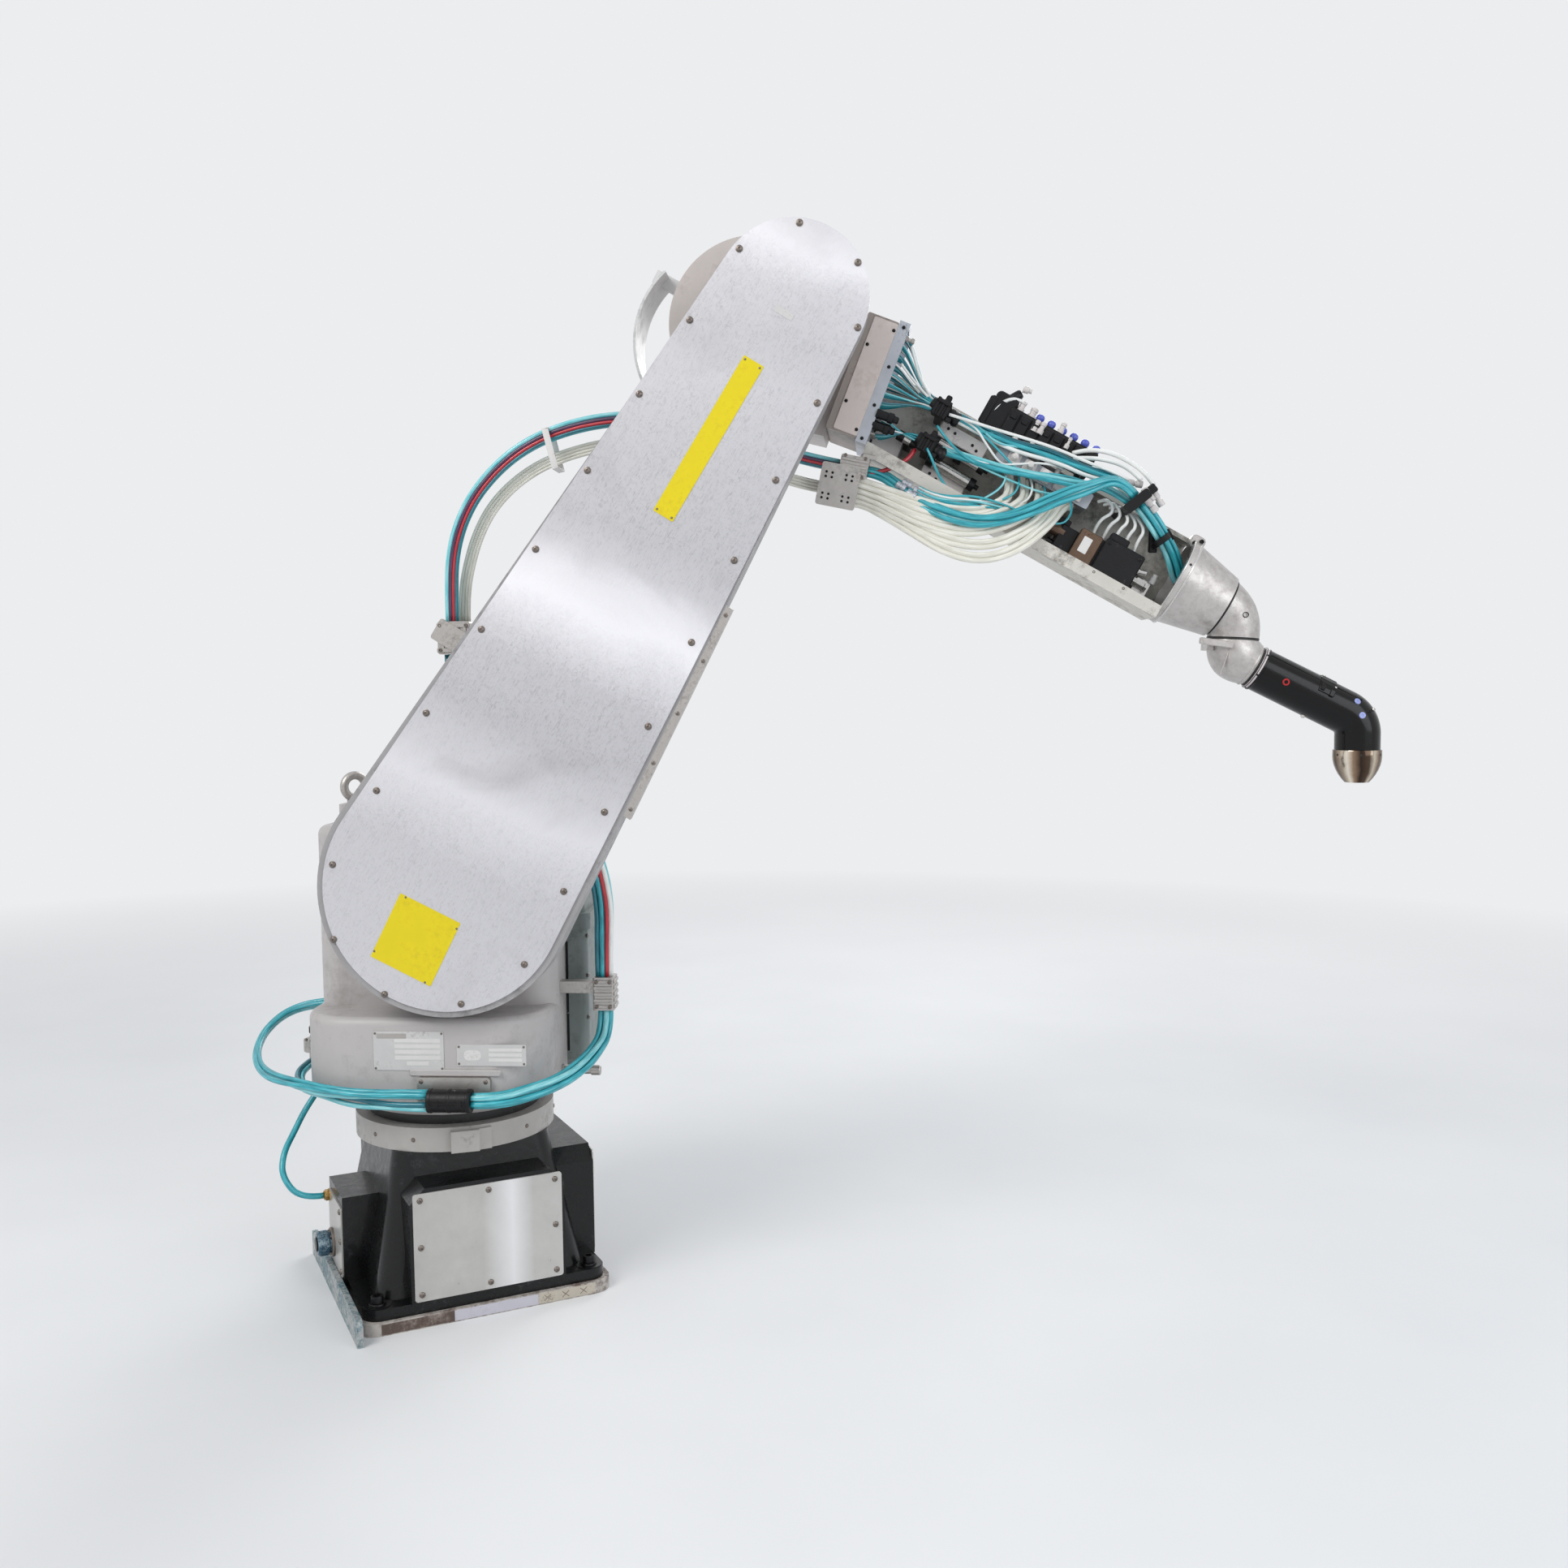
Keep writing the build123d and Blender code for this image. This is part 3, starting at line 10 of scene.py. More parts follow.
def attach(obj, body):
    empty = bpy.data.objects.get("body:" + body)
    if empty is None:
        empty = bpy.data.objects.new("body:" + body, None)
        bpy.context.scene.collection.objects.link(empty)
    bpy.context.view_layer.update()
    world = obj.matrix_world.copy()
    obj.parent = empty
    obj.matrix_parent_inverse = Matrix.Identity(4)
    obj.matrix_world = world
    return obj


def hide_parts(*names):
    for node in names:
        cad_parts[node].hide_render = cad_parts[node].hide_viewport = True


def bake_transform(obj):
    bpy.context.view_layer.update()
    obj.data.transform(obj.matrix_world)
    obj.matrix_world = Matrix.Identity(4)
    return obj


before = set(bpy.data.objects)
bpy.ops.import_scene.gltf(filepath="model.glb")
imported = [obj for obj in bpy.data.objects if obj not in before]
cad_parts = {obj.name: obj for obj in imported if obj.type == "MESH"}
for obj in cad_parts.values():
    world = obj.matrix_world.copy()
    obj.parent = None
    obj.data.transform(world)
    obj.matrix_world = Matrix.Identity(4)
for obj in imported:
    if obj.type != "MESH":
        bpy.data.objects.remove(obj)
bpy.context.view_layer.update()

# Viewpoint
# The camera stands in front of the arm, a little to the right and below the elbow, and looks
# slightly down. Its lens and place were worked out from the photograph.
yaw, pitch, roll = math.radians(3.82), math.radians(4.25), math.radians(-0.63)
forward = Vector((-math.sin(yaw) * math.cos(pitch), math.cos(yaw) * math.cos(pitch), -math.sin(pitch)))
level = Vector((math.cos(yaw), math.sin(yaw), 0))
upright = level.cross(forward)
rightward = level * math.cos(roll) + upright * math.sin(roll)
upward = upright * math.cos(roll) - level * math.sin(roll)
camera = bpy.data.objects.new("camera", bpy.data.cameras.new("camera"))
camera.data.lens = 34.23
camera.data.sensor_width = 36
camera.matrix_world = Matrix.Translation((0.912, -3.062, 1.268)) @ Matrix(
    (rightward, upward, -forward)).transposed().to_4x4()
bpy.context.scene.collection.objects.link(camera)
bpy.context.scene.camera = camera

# Air and paint hoses
# Extruded polyurethane tubing, teal, cream, red and purple, run in bundles that clamps, straps and
# a rubber sleeve hold. Each bundle keeps its tubes nearly side by side and lets them drift a little.
mm = 0.001


def shade(red, green, blue):
    """A colour seen on a 0 to 255 scale, as the shader takes it."""
    return tuple((c / 255 / 12.92) if c / 255 <= 0.04045 else ((c / 255 + 0.055) / 1.055) ** 2.4
                 for c in (red, green, blue)) + (1.0,)


def add(tree, kind, inputs=(), **settings):
    """A shader or geometry node with its settings, and with its sockets filled or linked."""
    node = tree.nodes.new(kind)
    for name, value in settings.items():
        setattr(node, name, value)
    for socket, value in dict(inputs).items():
        if isinstance(value, bpy.types.NodeSocket):
            tree.links.new(value, node.inputs[socket])
        else:
            node.inputs[socket].default_value = value
    return node


def begin(name, **constants):
    """A new material with one shader whose plain numbers are set on its own sockets."""
    material = bpy.data.materials.new(name)
    material.use_nodes = True
    tree = material.node_tree
    tree.nodes.clear()
    shader = add(tree, "ShaderNodeBsdfPrincipled")
    for socket, value in constants.items():
        shader.inputs[socket.replace("_", " ")].default_value = value
    output = add(tree, "ShaderNodeOutputMaterial")
    tree.links.new(shader.outputs[0], output.inputs[0])
    return material, tree, shader


def ramp(tree, value, low, high, first, last):
    """Two colours with a soft step between two values."""
    node = add(tree, "ShaderNodeValToRGB", {"Fac": value})
    node.color_ramp.elements[0].position = low
    node.color_ramp.elements[1].position = high
    node.color_ramp.elements[0].color = first
    node.color_ramp.elements[1].color = last
    return node.outputs["Color"]


def noise(tree, where, scale, detail, **more):
    """Soft random patches from 0 to 1."""
    return add(tree, "ShaderNodeTexNoise", {"Vector": where, "Scale": scale, "Detail": detail,
                                            **more}).outputs["Fac"]


def stretched(tree, where, scale):
    """The same places, stretched along each axis."""
    return add(tree, "ShaderNodeMapping", {"Vector": where, "Scale": scale}).outputs[0]


def maths(tree, how, *values):
    """One sum or product, as a socket."""
    return add(tree, "ShaderNodeMath", dict(enumerate(values)), operation=how).outputs[0]


def spread(tree, value, **ends):
    """A value moved from one range to another, as a socket."""
    return add(tree, "ShaderNodeMapRange", {"Value": value,
                                            **{k.replace("_", " "): v for k, v in ends.items()}}).outputs[0]


def laid(tree, share, below, above):
    """One colour over another, by a share from 0 to 1."""
    return add(tree, "ShaderNodeMix", {"Factor": share, "A": below, "B": above},
               data_type="RGBA").outputs["Result"]


def fade(tree, value, low, high, full=1.0, empty=0.0):
    """A share that changes softly between two values."""
    return ramp(tree, value, low, high, (empty, empty, empty, 1), (full, full, full, 1))


def surface(tree, shader, colour, dullness, height=None, depth=0.0, distance=0.001):
    """Join a colour, a dullness and a fine relief to a shader."""
    tree.links.new(colour, shader.inputs["Base Color"])
    tree.links.new(dullness, shader.inputs["Roughness"])
    if height:
        bump = add(tree, "ShaderNodeBump", {"Height": height, "Strength": depth, "Distance": distance})
        tree.links.new(bump.outputs[0], shader.inputs["Normal"])


def tubing(name, colour, light, gloss=0.2):
    """Clear-skinned tubing: its colour drifts along the run, with fine scuffs lengthwise."""
    colour, light = shade(*colour), shade(*light)
    material, tree, shader = begin(name, Coat_Weight=0.5, Coat_Roughness=0.08, Specular_IOR_Level=0.5)
    run = add(tree, "ShaderNodeUVMap", uv_map="run").outputs["UV"]
    drift = noise(tree, stretched(tree, run, (2.5, 9.0, 1)), 1.0, 3.0)
    scuff = noise(tree, stretched(tree, run, (9.0, 120.0, 1)), 1.0, 5.0)
    pale = tuple(0.6 * c + 0.35 for c in light[:3]) + (1,)
    marked = laid(tree, fade(tree, scuff, 0.66, 0.74, 0.5), ramp(tree, drift, 0.38, 0.66, colour, light),
                  pale)
    surface(tree, shader, marked, spread(tree, scuff, To_Min=gloss, To_Max=gloss + 0.25), scuff, 0.08)
    return material


teal = tubing("teal_tubing", (22, 142, 156), (66, 186, 198))
pale_teal = tubing("pale_teal_tubing", (88, 188, 198), (156, 220, 224))
deep_teal = tubing("deep_teal_tubing", (10, 98, 114), (26, 134, 150))
red = tubing("red_tubing", (166, 22, 38), (200, 40, 52))
purple = tubing("purple_tubing", (52, 26, 60), (86, 46, 88))
cream = tubing("cream_tubing", (216, 214, 202), (238, 236, 226), gloss=0.3)
milk = tubing("milk_tubing", (226, 228, 226), (242, 243, 240), gloss=0.26)


def route_line(name, route, order=3):
    """The smooth line of a hose: an open NURBS spline on its route points, and points read from it."""
    curve = bpy.data.curves.new(name, "CURVE")
    curve.dimensions = "3D"
    spline = curve.splines.new("NURBS")
    spline.points.add(len(route) - 1)
    for point, place in zip(spline.points, route):
        point.co = (*place, 1)
    spline.order_u = order
    spline.use_endpoint_u = True
    spline.resolution_u = 8
    holder = bpy.data.objects.new(name, curve)
    line = bpy.data.meshes.new_from_object(holder)
    points = [vertex.co.copy() for vertex in line.vertices]
    bpy.data.objects.remove(holder)
    bpy.data.meshes.remove(line)
    bpy.data.curves.remove(curve)
    return points


def sweep_tube(build, uv, line, radius, index, sides=10, number=0):
    """A closed round tube along a line, all in metres, with its run and its turn kept as UV."""
    ahead = [(line[min(i + 1, len(line) - 1)] - line[max(i - 1, 0)]).normalized() for i in range(len(line))]
    across = ahead[0].orthogonal().normalized()
    travelled = 0.0
    rings = []
    for i, (point, tangent) in enumerate(zip(line, ahead)):
        across = (across - tangent * across.dot(tangent)).normalized()
        up = tangent.cross(across)
        travelled += (point - line[i - 1]).length if i else 0.0
        rings.append((travelled, [build.verts.new(point + (across * math.cos(a) + up * math.sin(a)) * radius)
                                  for a in (2 * math.pi * k / sides for k in range(sides))]))
    for (behind, low), (before, high) in zip(rings, rings[1:]):
        for k in range(sides):
            n = (k + 1) % sides
            face = build.faces.new((low[k], low[n], high[n], high[k]))
            face.material_index = index
            face.smooth = True
            corners = ((behind, k), (behind, k + 1), (before, k + 1), (before, k))
            for loop, (way, turn) in zip(face.loops, corners):
                loop[uv].uv = (way * 10 + number * 3.7, turn / sides + number)
    build.faces.new(rings[0][1][::-1]).material_index = index
    build.faces.new(rings[-1][1]).material_index = index


def tubes(name, points, strands, sides=10, start=(0, 1, 0), drift=0.12, gather=0.1):
    """Round tubes side by side along a line; each strand is (side, up, radius, material), in millimetres."""
    build = bmesh.new()
    uv = build.loops.layers.uv.new("run")
    materials = []
    across = Vector(start)
    frames = []
    travelled = [0.0]
    for i, point in enumerate(points):
        tangent = (points[min(i + 1, len(points) - 1)] - points[max(i - 1, 0)]).normalized()
        across = (across - tangent * across.dot(tangent)).normalized()
        frames.append((across.copy(), tangent.cross(across)))
        if i:
            travelled.append(travelled[-1] + (point - points[i - 1]).length)
    for number, (side, up, radius, material) in enumerate(strands):
        if material not in materials:
            materials.append(material)
        chance = random.Random(number * 7 + len(name))
        phase, turns = chance.uniform(0, 6.28), chance.uniform(1.5, 3.0)
        reach = math.hypot(side, up) * drift
        line = []
        for point, (left, above), way in zip(points, frames, travelled):
            loose = math.sin(math.pi * way / travelled[-1])
            swing = phase + way / travelled[-1] * turns * 6.28
            held = 1 - gather * (1 - loose)
            line.append(point + mm * (left * (side * held + reach * loose * math.sin(swing))
                                         + above * (up * held + reach * loose * math.cos(swing * 0.8))))
        sweep_tube(build, uv, line, radius * mm, materials.index(material), sides, number)
    mesh = bpy.data.meshes.new(name)
    build.to_mesh(mesh)
    build.free()
    for material in materials:
        mesh.materials.append(material)
    piece = bpy.data.objects.new(name, mesh)
    bpy.context.scene.collection.objects.link(piece)
    return piece


def hose(name, route, strands, width, stands_for, bodies, bend=None, lay="hanging", **shape):
    """A bundle on its route in millimetres; its width is not used."""
    points = route_line(name, [Vector(p) * mm for p in route])
    piece = tubes(name, points, strands, **shape)
    if bend:
        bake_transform(piece)
    else:
        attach(piece, bodies[0])
    if stands_for:
        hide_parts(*stands_for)


def in_ring(count, distance, radius, materials, turn=0.0):
    """Tubes packed in a ring around the bundle's middle."""
    return [(distance * math.cos(turn + 2 * math.pi * k / count),
             distance * math.sin(turn + 2 * math.pi * k / count), radius, materials[k % len(materials)])
            for k in range(count)]


hose("base_hose", [
    (-300, 20, 439.7), (-300, 20, 393), (-325, -13, 349), (-337, -44, 311), (-347, -80, 277),
    (-341, -109, 237), (-304, -106, 188), (-263.2, -82.7, 188)],
    [(0, 0, 6.5, teal)], 13, ("base_hose_upper", "base_hose_lower"), ("turret", "foot"),
    bend=((-0.300, 0.020, 0.415), (-0.345, -0.095, 0.255)), sides=14)

hose("turret_bundle", [
    (330, -20, 573.7), (330, -20, 521), (314, -89, 491), (292, -139, 473), (260, -185, 460),
    (216, -221, 450), (160, -250, 441), (106.8, -250, 441)],
    in_ring(5, 11.5, 6.0, (teal, pale_teal, teal, deep_teal, teal)) + [(0, 0, 5.0, teal)],
    38, ("turret_hoses_right",), ("turret",), start=(1, 0, 0))

hose("turret_loop", [
    (19.2, -250, 452.6), (-43, -250, 453), (-116, -257, 456), (-182, -249, 458), (-245, -226, 460),
    (-301, -188, 461), (-349, -141, 464), (-390, -87, 471), (-416, -28, 487), (-422, 34, 514),
    (-393, 85, 543), (-324, 101, 558), (-262.3, 101, 558)],
    in_ring(3, 6.2, 5.4, (teal, pale_teal, teal), turn=0.6), 22, ("turret_hose_loop",), ("turret",),
    start=(0, 0, 1), drift=0.45)

hose("regulator_bundle", [
    (19.2, -250, 429.4), (-36, -250, 429), (-101, -237, 432), (-160, -232, 437), (-217, -213, 444),
    (-262, -174, 449), (-291, -122, 453), (-300, -58, 456), (-300, -2.3, 456)],
    in_ring(3, 6.2, 5.4, (teal, pale_teal, deep_teal), turn=1.4), 22, ("regulator_hose",), ("turret",),
    start=(0, 0, 1), drift=0.4)

hose("shoulder_bundle", [
    (330, -20, 643.3), (330, -20, 710), (335, -30, 787), (331, -54, 854), (321, -91, 916),
    (306, -132, 973), (277, -155, 1034), (234, -157, 1092), (182, -157, 1141), (124, -157, 1184),
    (70, -157, 1245), (70, -157, 1311.7)],
    [(-8, 14, 6.0, deep_teal), (-11, 3, 6.0, teal), (-12, -6.5, 4.4, red), (-7, -14.5, 5.4, milk),
     (8, 11, 6.0, deep_teal), (9, -2, 6.0, purple), (6, -13, 5.0, pale_teal)],
    40, ("shoulder_hoses_turret", "shoulder_hoses_arm"), ("turret", "inner_arm"),
    bend=((0.331, -0.054, 0.830), (0.270, -0.155, 1.040)), start=(0, 1, 0))

hose("elbow_bundle", [
    (69, -164.5, 1376.3), (69, -164, 1432), (72, -164, 1498), (87, -165, 1557), (114, -165, 1612),
    (152, -164, 1659), (199, -165, 1699), (252, -165, 1728), (310, -164, 1747), (370, -165, 1758),
    (431, -164, 1761), (491, -160, 1758), (550, -147, 1748), (604, -122, 1735), (658, -96, 1720),
    (713, -76, 1706), (775, -60, 1689), (830.3, -60, 1676.9)],
    [(3.5, -9.2, 4.6, pale_teal), (-4.5, -8.5, 4.4, teal), (4.8, -1.8, 3.8, purple), (-5, 0, 4.5, teal),
     (4.8, 4.6, 3.4, red), (-4, 8.5, 4.5, teal), (3.6, 10.2, 3.2, deep_teal)],
    28, ("elbow_hoses_arm", "elbow_hoses_forearm"), ("inner_arm", "forearm"),
    bend=((0.370, -0.165, 1.758), (0.658, -0.096, 1.720)), start=(0, -1, 0))

hose("elbow_ribbon", [
    (86, -138.2, 1376.3), (86, -138, 1431), (99, -138, 1493), (118, -138, 1549), (147, -138, 1600),
    (188, -138, 1642), (237, -138, 1675), (291, -138, 1697), (349, -138, 1712), (407, -138, 1720),
    (466, -138, 1720), (524, -134, 1713), (580, -122, 1701), (634, -102, 1686), (686, -81, 1668),
    (744, -60, 1647), (797.5, -60, 1635.7)],
    [(0, 9, 3.3, cream), (0, 3, 3.3, cream), (0, -3, 3.3, cream), (0, -9, 3.3, cream)],
    24, ("elbow_ribbon_arm", "elbow_ribbon_forearm"), ("inner_arm", "forearm"),
    bend=((0.349, -0.138, 1.712), (0.634, -0.102, 1.686)), start=(0, -1, 0), drift=0.0, gather=0.0)

# Cream hoses: they leave the lower clamp as a flat band, sag under the beam and fan out behind its
# lip, each to its own fitting. The lowest hangs deepest.
cream_ends = (505, 540, 575, 612, 648)
cream_runs = (
    ((898, -88, 1632), (950, -88, 1612), (1000, -92, 1596), (1052, -93, 1582), (1104, -90, 1580),
     (1143, -78, 1595), (1168, -52, 1617)),
    ((890, -82, 1624), (936, -88, 1602), (982, -95, 1580), (1036, -99, 1564), (1092, -98, 1561),
     (1142, -92, 1572), (1178, -78, 1591), (1198, -46, 1612)),
    ((884, -76, 1617), (930, -84, 1592), (978, -94, 1566), (1028, -101, 1547), (1080, -104, 1538),
     (1132, -101, 1546), (1178, -94, 1563), (1210, -78, 1584), (1226, -46, 1604)),
    ((880, -70, 1610), (928, -80, 1583), (978, -92, 1554), (1030, -101, 1528), (1084, -105, 1513),
     (1136, -103, 1516), (1184, -99, 1536), (1222, -88, 1563), (1242, -64, 1585), (1248, -34, 1602)),
    ((876, -64, 1604), (922, -76, 1576), (970, -90, 1545), (1020, -100, 1512), (1072, -106, 1490),
     (1122, -106, 1487), (1172, -102, 1503), (1216, -95, 1533), (1248, -80, 1565), (1268, -50, 1590)))

# The elbow's axis, and how far the forearm goes across and down for each millimetre of its length
elbow_x, elbow_z = 748.97, 1960.66
cos_f, sin_f = math.cos(math.radians(30)), 0.5


def forearm_at(s, t, y):
    """A point in millimetres given along the forearm, square to it, and across the machine."""
    return (elbow_x + s * cos_f + t * sin_f, y, elbow_z - s * sin_f + t * cos_f)


for number, (end, run) in enumerate(zip(cream_ends, cream_runs)):
    begin_at = (856.6 + 5 - number * 2, -84 + number * 6, 1644 - number * 9.5)
    hose(f"cream_hose_{number + 1}", [begin_at, *run, forearm_at(end, -40.5, -14)],
         [(0, 5.2, 5.6, cream), (0, -5.2, 5.6, cream)], 14, ("cream_hoses",), ("forearm",), sides=12,
         drift=0.0, gather=0.0)

# Teal tubes over the forearm: a sagging bundle from the clamp, two from the gathered small tubes,
# and the joined bundle through both straps into the hollow wrist.
hose("teal_sag", [
    (885.2, -60, 1665.2), (911, -60, 1660), (942, -68, 1636), (974, -82, 1610), (1014, -97, 1587),
    (1062, -106, 1568), (1113, -109, 1558), (1165, -110, 1564), (1214, -110, 1581), (1261, -107, 1604),
    (1310, -100, 1621), (1378, -74, 1644), forearm_at(747.4, 21.9, -74)],
    [(3.5, 9.5, 5.0, teal), (-3.5, 3.5, 5.0, pale_teal), (4.5, -2.5, 4.6, teal), (-3.5, -9.5, 5.0, teal)],
    28, ("teal_hoses_lower",), ("forearm",), start=(0, -1, 0), drift=0.35, gather=0.3)

hose("teal_top", [
    forearm_at(349.3, -10, -45), (1087, -45, 1754), (1135, -45, 1730), (1182, -45, 1711), (1229, -45, 1693),
    (1276, -45, 1676), (1323, -45, 1658), (1379, -44, 1642), forearm_at(747.4, 21.9, -44)],
    [(4, 8.5, 4.2, milk), (-4, 6.0, 4.4, teal), (5.5, -0.5, 4.6, teal), (-4.5, -4.0, 4.6, pale_teal),
     (3.5, -9.0, 4.4, deep_teal)],
    28, ("teal_hoses_upper",), ("forearm",), start=(0, -1, 0), drift=0.3, gather=0.3)

hose("teal_middle", [
    forearm_at(358.6, -83, -47), (1060, -50, 1697), (1100, -56, 1682), (1148, -60, 1667), (1200, -62, 1655),
    (1252, -62, 1641), (1302, -60, 1630), (1352, -58, 1631), forearm_at(746.8, 8.0, -58)],
    [(2.5, 4.0, 4.6, teal), (-2.5, -4.5, 4.6, pale_teal)],
    18, (), ("forearm",), start=(0, -1, 0), drift=0.3)

hose("wrist_bundle", [
    forearm_at(766.6, 14.2, -59), (1446, -59, 1557), (1472, -41, 1519), (1491, -22, 1482), (1509, 0, 1437),
    forearm_at(974, -73.5, 0)],
    in_ring(5, 11.2, 5.6, (teal, pale_teal, teal, deep_teal, teal)) + [(0, 0, 5.2, teal)],
    38, ("wrist_hoses",), ("forearm",), start=(0, -1, 0))

# Foot
# A black enamelled casting bolted to a torn-edged steel plate, with sheet covers screwed over its
# four boxes, a locating bar along one edge, and a round connector and a brass gland on the inlet box.
def skin(name, colour, marks, metal=0.0, rough=(0.3, 0.5), patches=5.0, show=(0.30, 0.38), strength=0.6,
         grain=(260, 260, 260), depth=0.1, tone=0.1, **constants):
    """A hard surface: broad patches, marks that gather in some of them, and a fine grain all over."""
    material, tree, shader = begin(name, Metallic=metal, **constants)
    colour, marks = shade(*colour), shade(*marks)
    where = add(tree, "ShaderNodeTexCoord").outputs["Object"]
    broad = noise(tree, where, patches, 5.0, Roughness=0.6)
    spots = noise(tree, where, patches * 7, 8.0, Roughness=0.72)
    fine = noise(tree, stretched(tree, where, grain), 1.0, 3.0)
    base = ramp(tree, broad, 0.3, 0.7, tuple(c * (1 - tone) for c in colour[:3]) + (1,),
                tuple(min(1, c * (1 + tone)) for c in colour[:3]) + (1,))
    mask = fade(tree, maths(tree, "MULTIPLY", broad, spots), *show, strength)
    dullness = spread(tree, spots, From_Min=0.3, From_Max=0.7, To_Min=rough[0], To_Max=rough[1])
    surface(tree, shader, laid(tree, mask, base, marks), dullness, maths(tree, "SUBTRACT", fine, mask),
            depth, 0.002)
    return material


def dress(material, *nodes):
    """Give carried-over solids their finish."""
    for node in nodes:
        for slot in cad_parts[node].material_slots:
            slot.material = material


def on(origin, x_dir, z_dir):
    """A local frame in millimetres: where it stands, where its first axis points, and where it faces."""
    x, z = Vector(x_dir).normalized(), Vector(z_dir).normalized()
    turn = Matrix((x, z.cross(x), z)).transposed().to_4x4()
    return Matrix.Translation(Vector(origin) * mm) @ turn @ Matrix.Scale(mm, 4)


def moved(place, x, y, z=0.0, turn=0.0):
    """A frame moved within itself, in millimetres, then turned about the way it faces, in degrees."""
    return place @ Matrix.Translation((x, y, z)) @ Matrix.Rotation(math.radians(turn), 4, "Z")


def hoops(build, place, profile, sides):
    """Rings of points around a frame's middle, from (radius, height) pairs."""
    return [[build.verts.new(place @ Vector((r * math.cos(a), r * math.sin(a), h)))
             for a in (2 * math.pi * k / sides for k in range(sides))] for r, h in profile]


def bridge(build, rings, index=0, capped=True):
    """Faces from each ring to the next, and over the first and the last."""
    for low, high in zip(rings, rings[1:]):
        for k in range(len(low)):
            n = (k + 1) % len(low)
            build.faces.new((low[k], low[n], high[n], high[k])).material_index = index
    if capped:
        build.faces.new(rings[0][::-1]).material_index = index
        build.faces.new(rings[-1]).material_index = index


def turned(build, profile, place, sides=20, index=0):
    """A round piece from (radius, height) pairs, closed at both ends."""
    bridge(build, hoops(build, place, profile, sides), index)


def rounded(width, height, corner, steps=4):
    """Outline of a rectangle with round corners, around its middle."""
    corner = max(0.05, min(corner, width / 2 - 0.01, height / 2 - 0.01))
    return [(sx * (width / 2 - corner) + corner * math.cos(a),
             sy * (height / 2 - corner) + corner * math.sin(a))
            for sx, sy, start in ((1, 1, 0), (-1, 1, 90), (-1, -1, 180), (1, -1, 270))
            for a in (math.radians(start + 90 * k / steps) for k in range(steps + 1))]


def block(build, width, height, thick, place, corner=2.0, edge=0.8, index=0):
    """A flat block standing on its frame, with round corners and broken edges."""
    levels = ((edge, 0), (0, edge), (0, thick - edge), (edge, thick))
    outlines = [(rounded(width - 2 * inset, height - 2 * inset, corner - inset), z) for inset, z in levels]
    bridge(build, [[build.verts.new(place @ Vector((x, y, z))) for x, y in outline]
                   for outline, z in outlines], index)


def rounded_off(name, build, smooth):
    """A mesh from a build, smooth except along its sharp edges."""
    mesh = bpy.data.meshes.new(name)
    build.to_mesh(mesh)
    build.free()
    mesh.polygons.foreach_set("use_smooth", [True] * len(mesh.polygons))
    mesh.set_sharp_from_angle(angle=math.radians(smooth))
    return mesh


def mount(name, mesh, body, stands_for=()):
    """Put a finished mesh in the scene, riding on a body."""
    piece = bpy.data.objects.new(name, mesh)
    bpy.context.scene.collection.objects.link(piece)
    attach(piece, body)
    if stands_for:
        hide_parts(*stands_for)


def close(name, build, materials, body, stands_for=(), smooth=35):
    """Turn a build into a finished piece that rides on a body."""
    mesh = rounded_off(name, build, smooth)
    for material in materials:
        mesh.materials.append(material)
    mount(name, mesh, body, stands_for)


def screw_tree():
    """Sets a copy of one screw head on each point, facing as the point says, each turned by chance."""
    tree = bpy.data.node_groups.new("screw_setting", "GeometryNodeTree")
    for label, kind in (("Places", "NodeSocketGeometry"), ("Screw", "NodeSocketObject"),
                        ("Head width", "NodeSocketFloat"), ("Finish", "NodeSocketMaterial")):
        tree.interface.new_socket(label, in_out="INPUT", socket_type=kind)
    tree.interface.new_socket("Screws", in_out="OUTPUT", socket_type="NodeSocketGeometry")
    given = add(tree, "NodeGroupInput")
    facing = add(tree, "GeometryNodeInputNamedAttribute", {"Name": "facing"}, data_type="FLOAT_VECTOR")
    stand = add(tree, "FunctionNodeAlignRotationToVector", {"Vector": facing.outputs["Attribute"]}, axis="Z")
    chance = add(tree, "FunctionNodeRandomValue", data_type="FLOAT")
    chance.inputs["Seed"].default_value = 11
    chance.inputs[3].default_value = 6.28
    spin = add(tree, "FunctionNodeAxisAngleToRotation", {"Axis": (0, 0, 1), "Angle": chance.outputs[1]})
    turn = add(tree, "FunctionNodeRotateRotation", {
        "Rotation": stand.outputs[0], "Rotate By": spin.outputs[0]}, rotation_space="LOCAL")
    head = add(tree, "GeometryNodeObjectInfo", {"Object": given.outputs["Screw"]})
    setting = add(tree, "GeometryNodeInstanceOnPoints", {
        "Points": given.outputs["Places"], "Instance": head.outputs["Geometry"],
        "Rotation": turn.outputs[0], "Scale": given.outputs["Head width"]})
    real = add(tree, "GeometryNodeRealizeInstances", {"Geometry": setting.outputs[0]})
    finished = add(tree, "GeometryNodeSetMaterial", {
        "Geometry": real.outputs[0], "Material": given.outputs["Finish"]})
    add(tree, "NodeGroupOutput", {"Screws": finished.outputs[0]})
    return tree


screw_setting = screw_tree()
screw_inputs = {item.name: item.identifier for item in screw_setting.interface.items_tree
                if item.in_out == "INPUT"}


def head_pattern(name, profile, sides=18):
    """A screw head one unit wide, kept out of the scene and used as a pattern."""
    build = bmesh.new()
    turned(build, profile, Matrix.Identity(4), sides)
    return bpy.data.objects.new(name, rounded_off(name, build, 40))


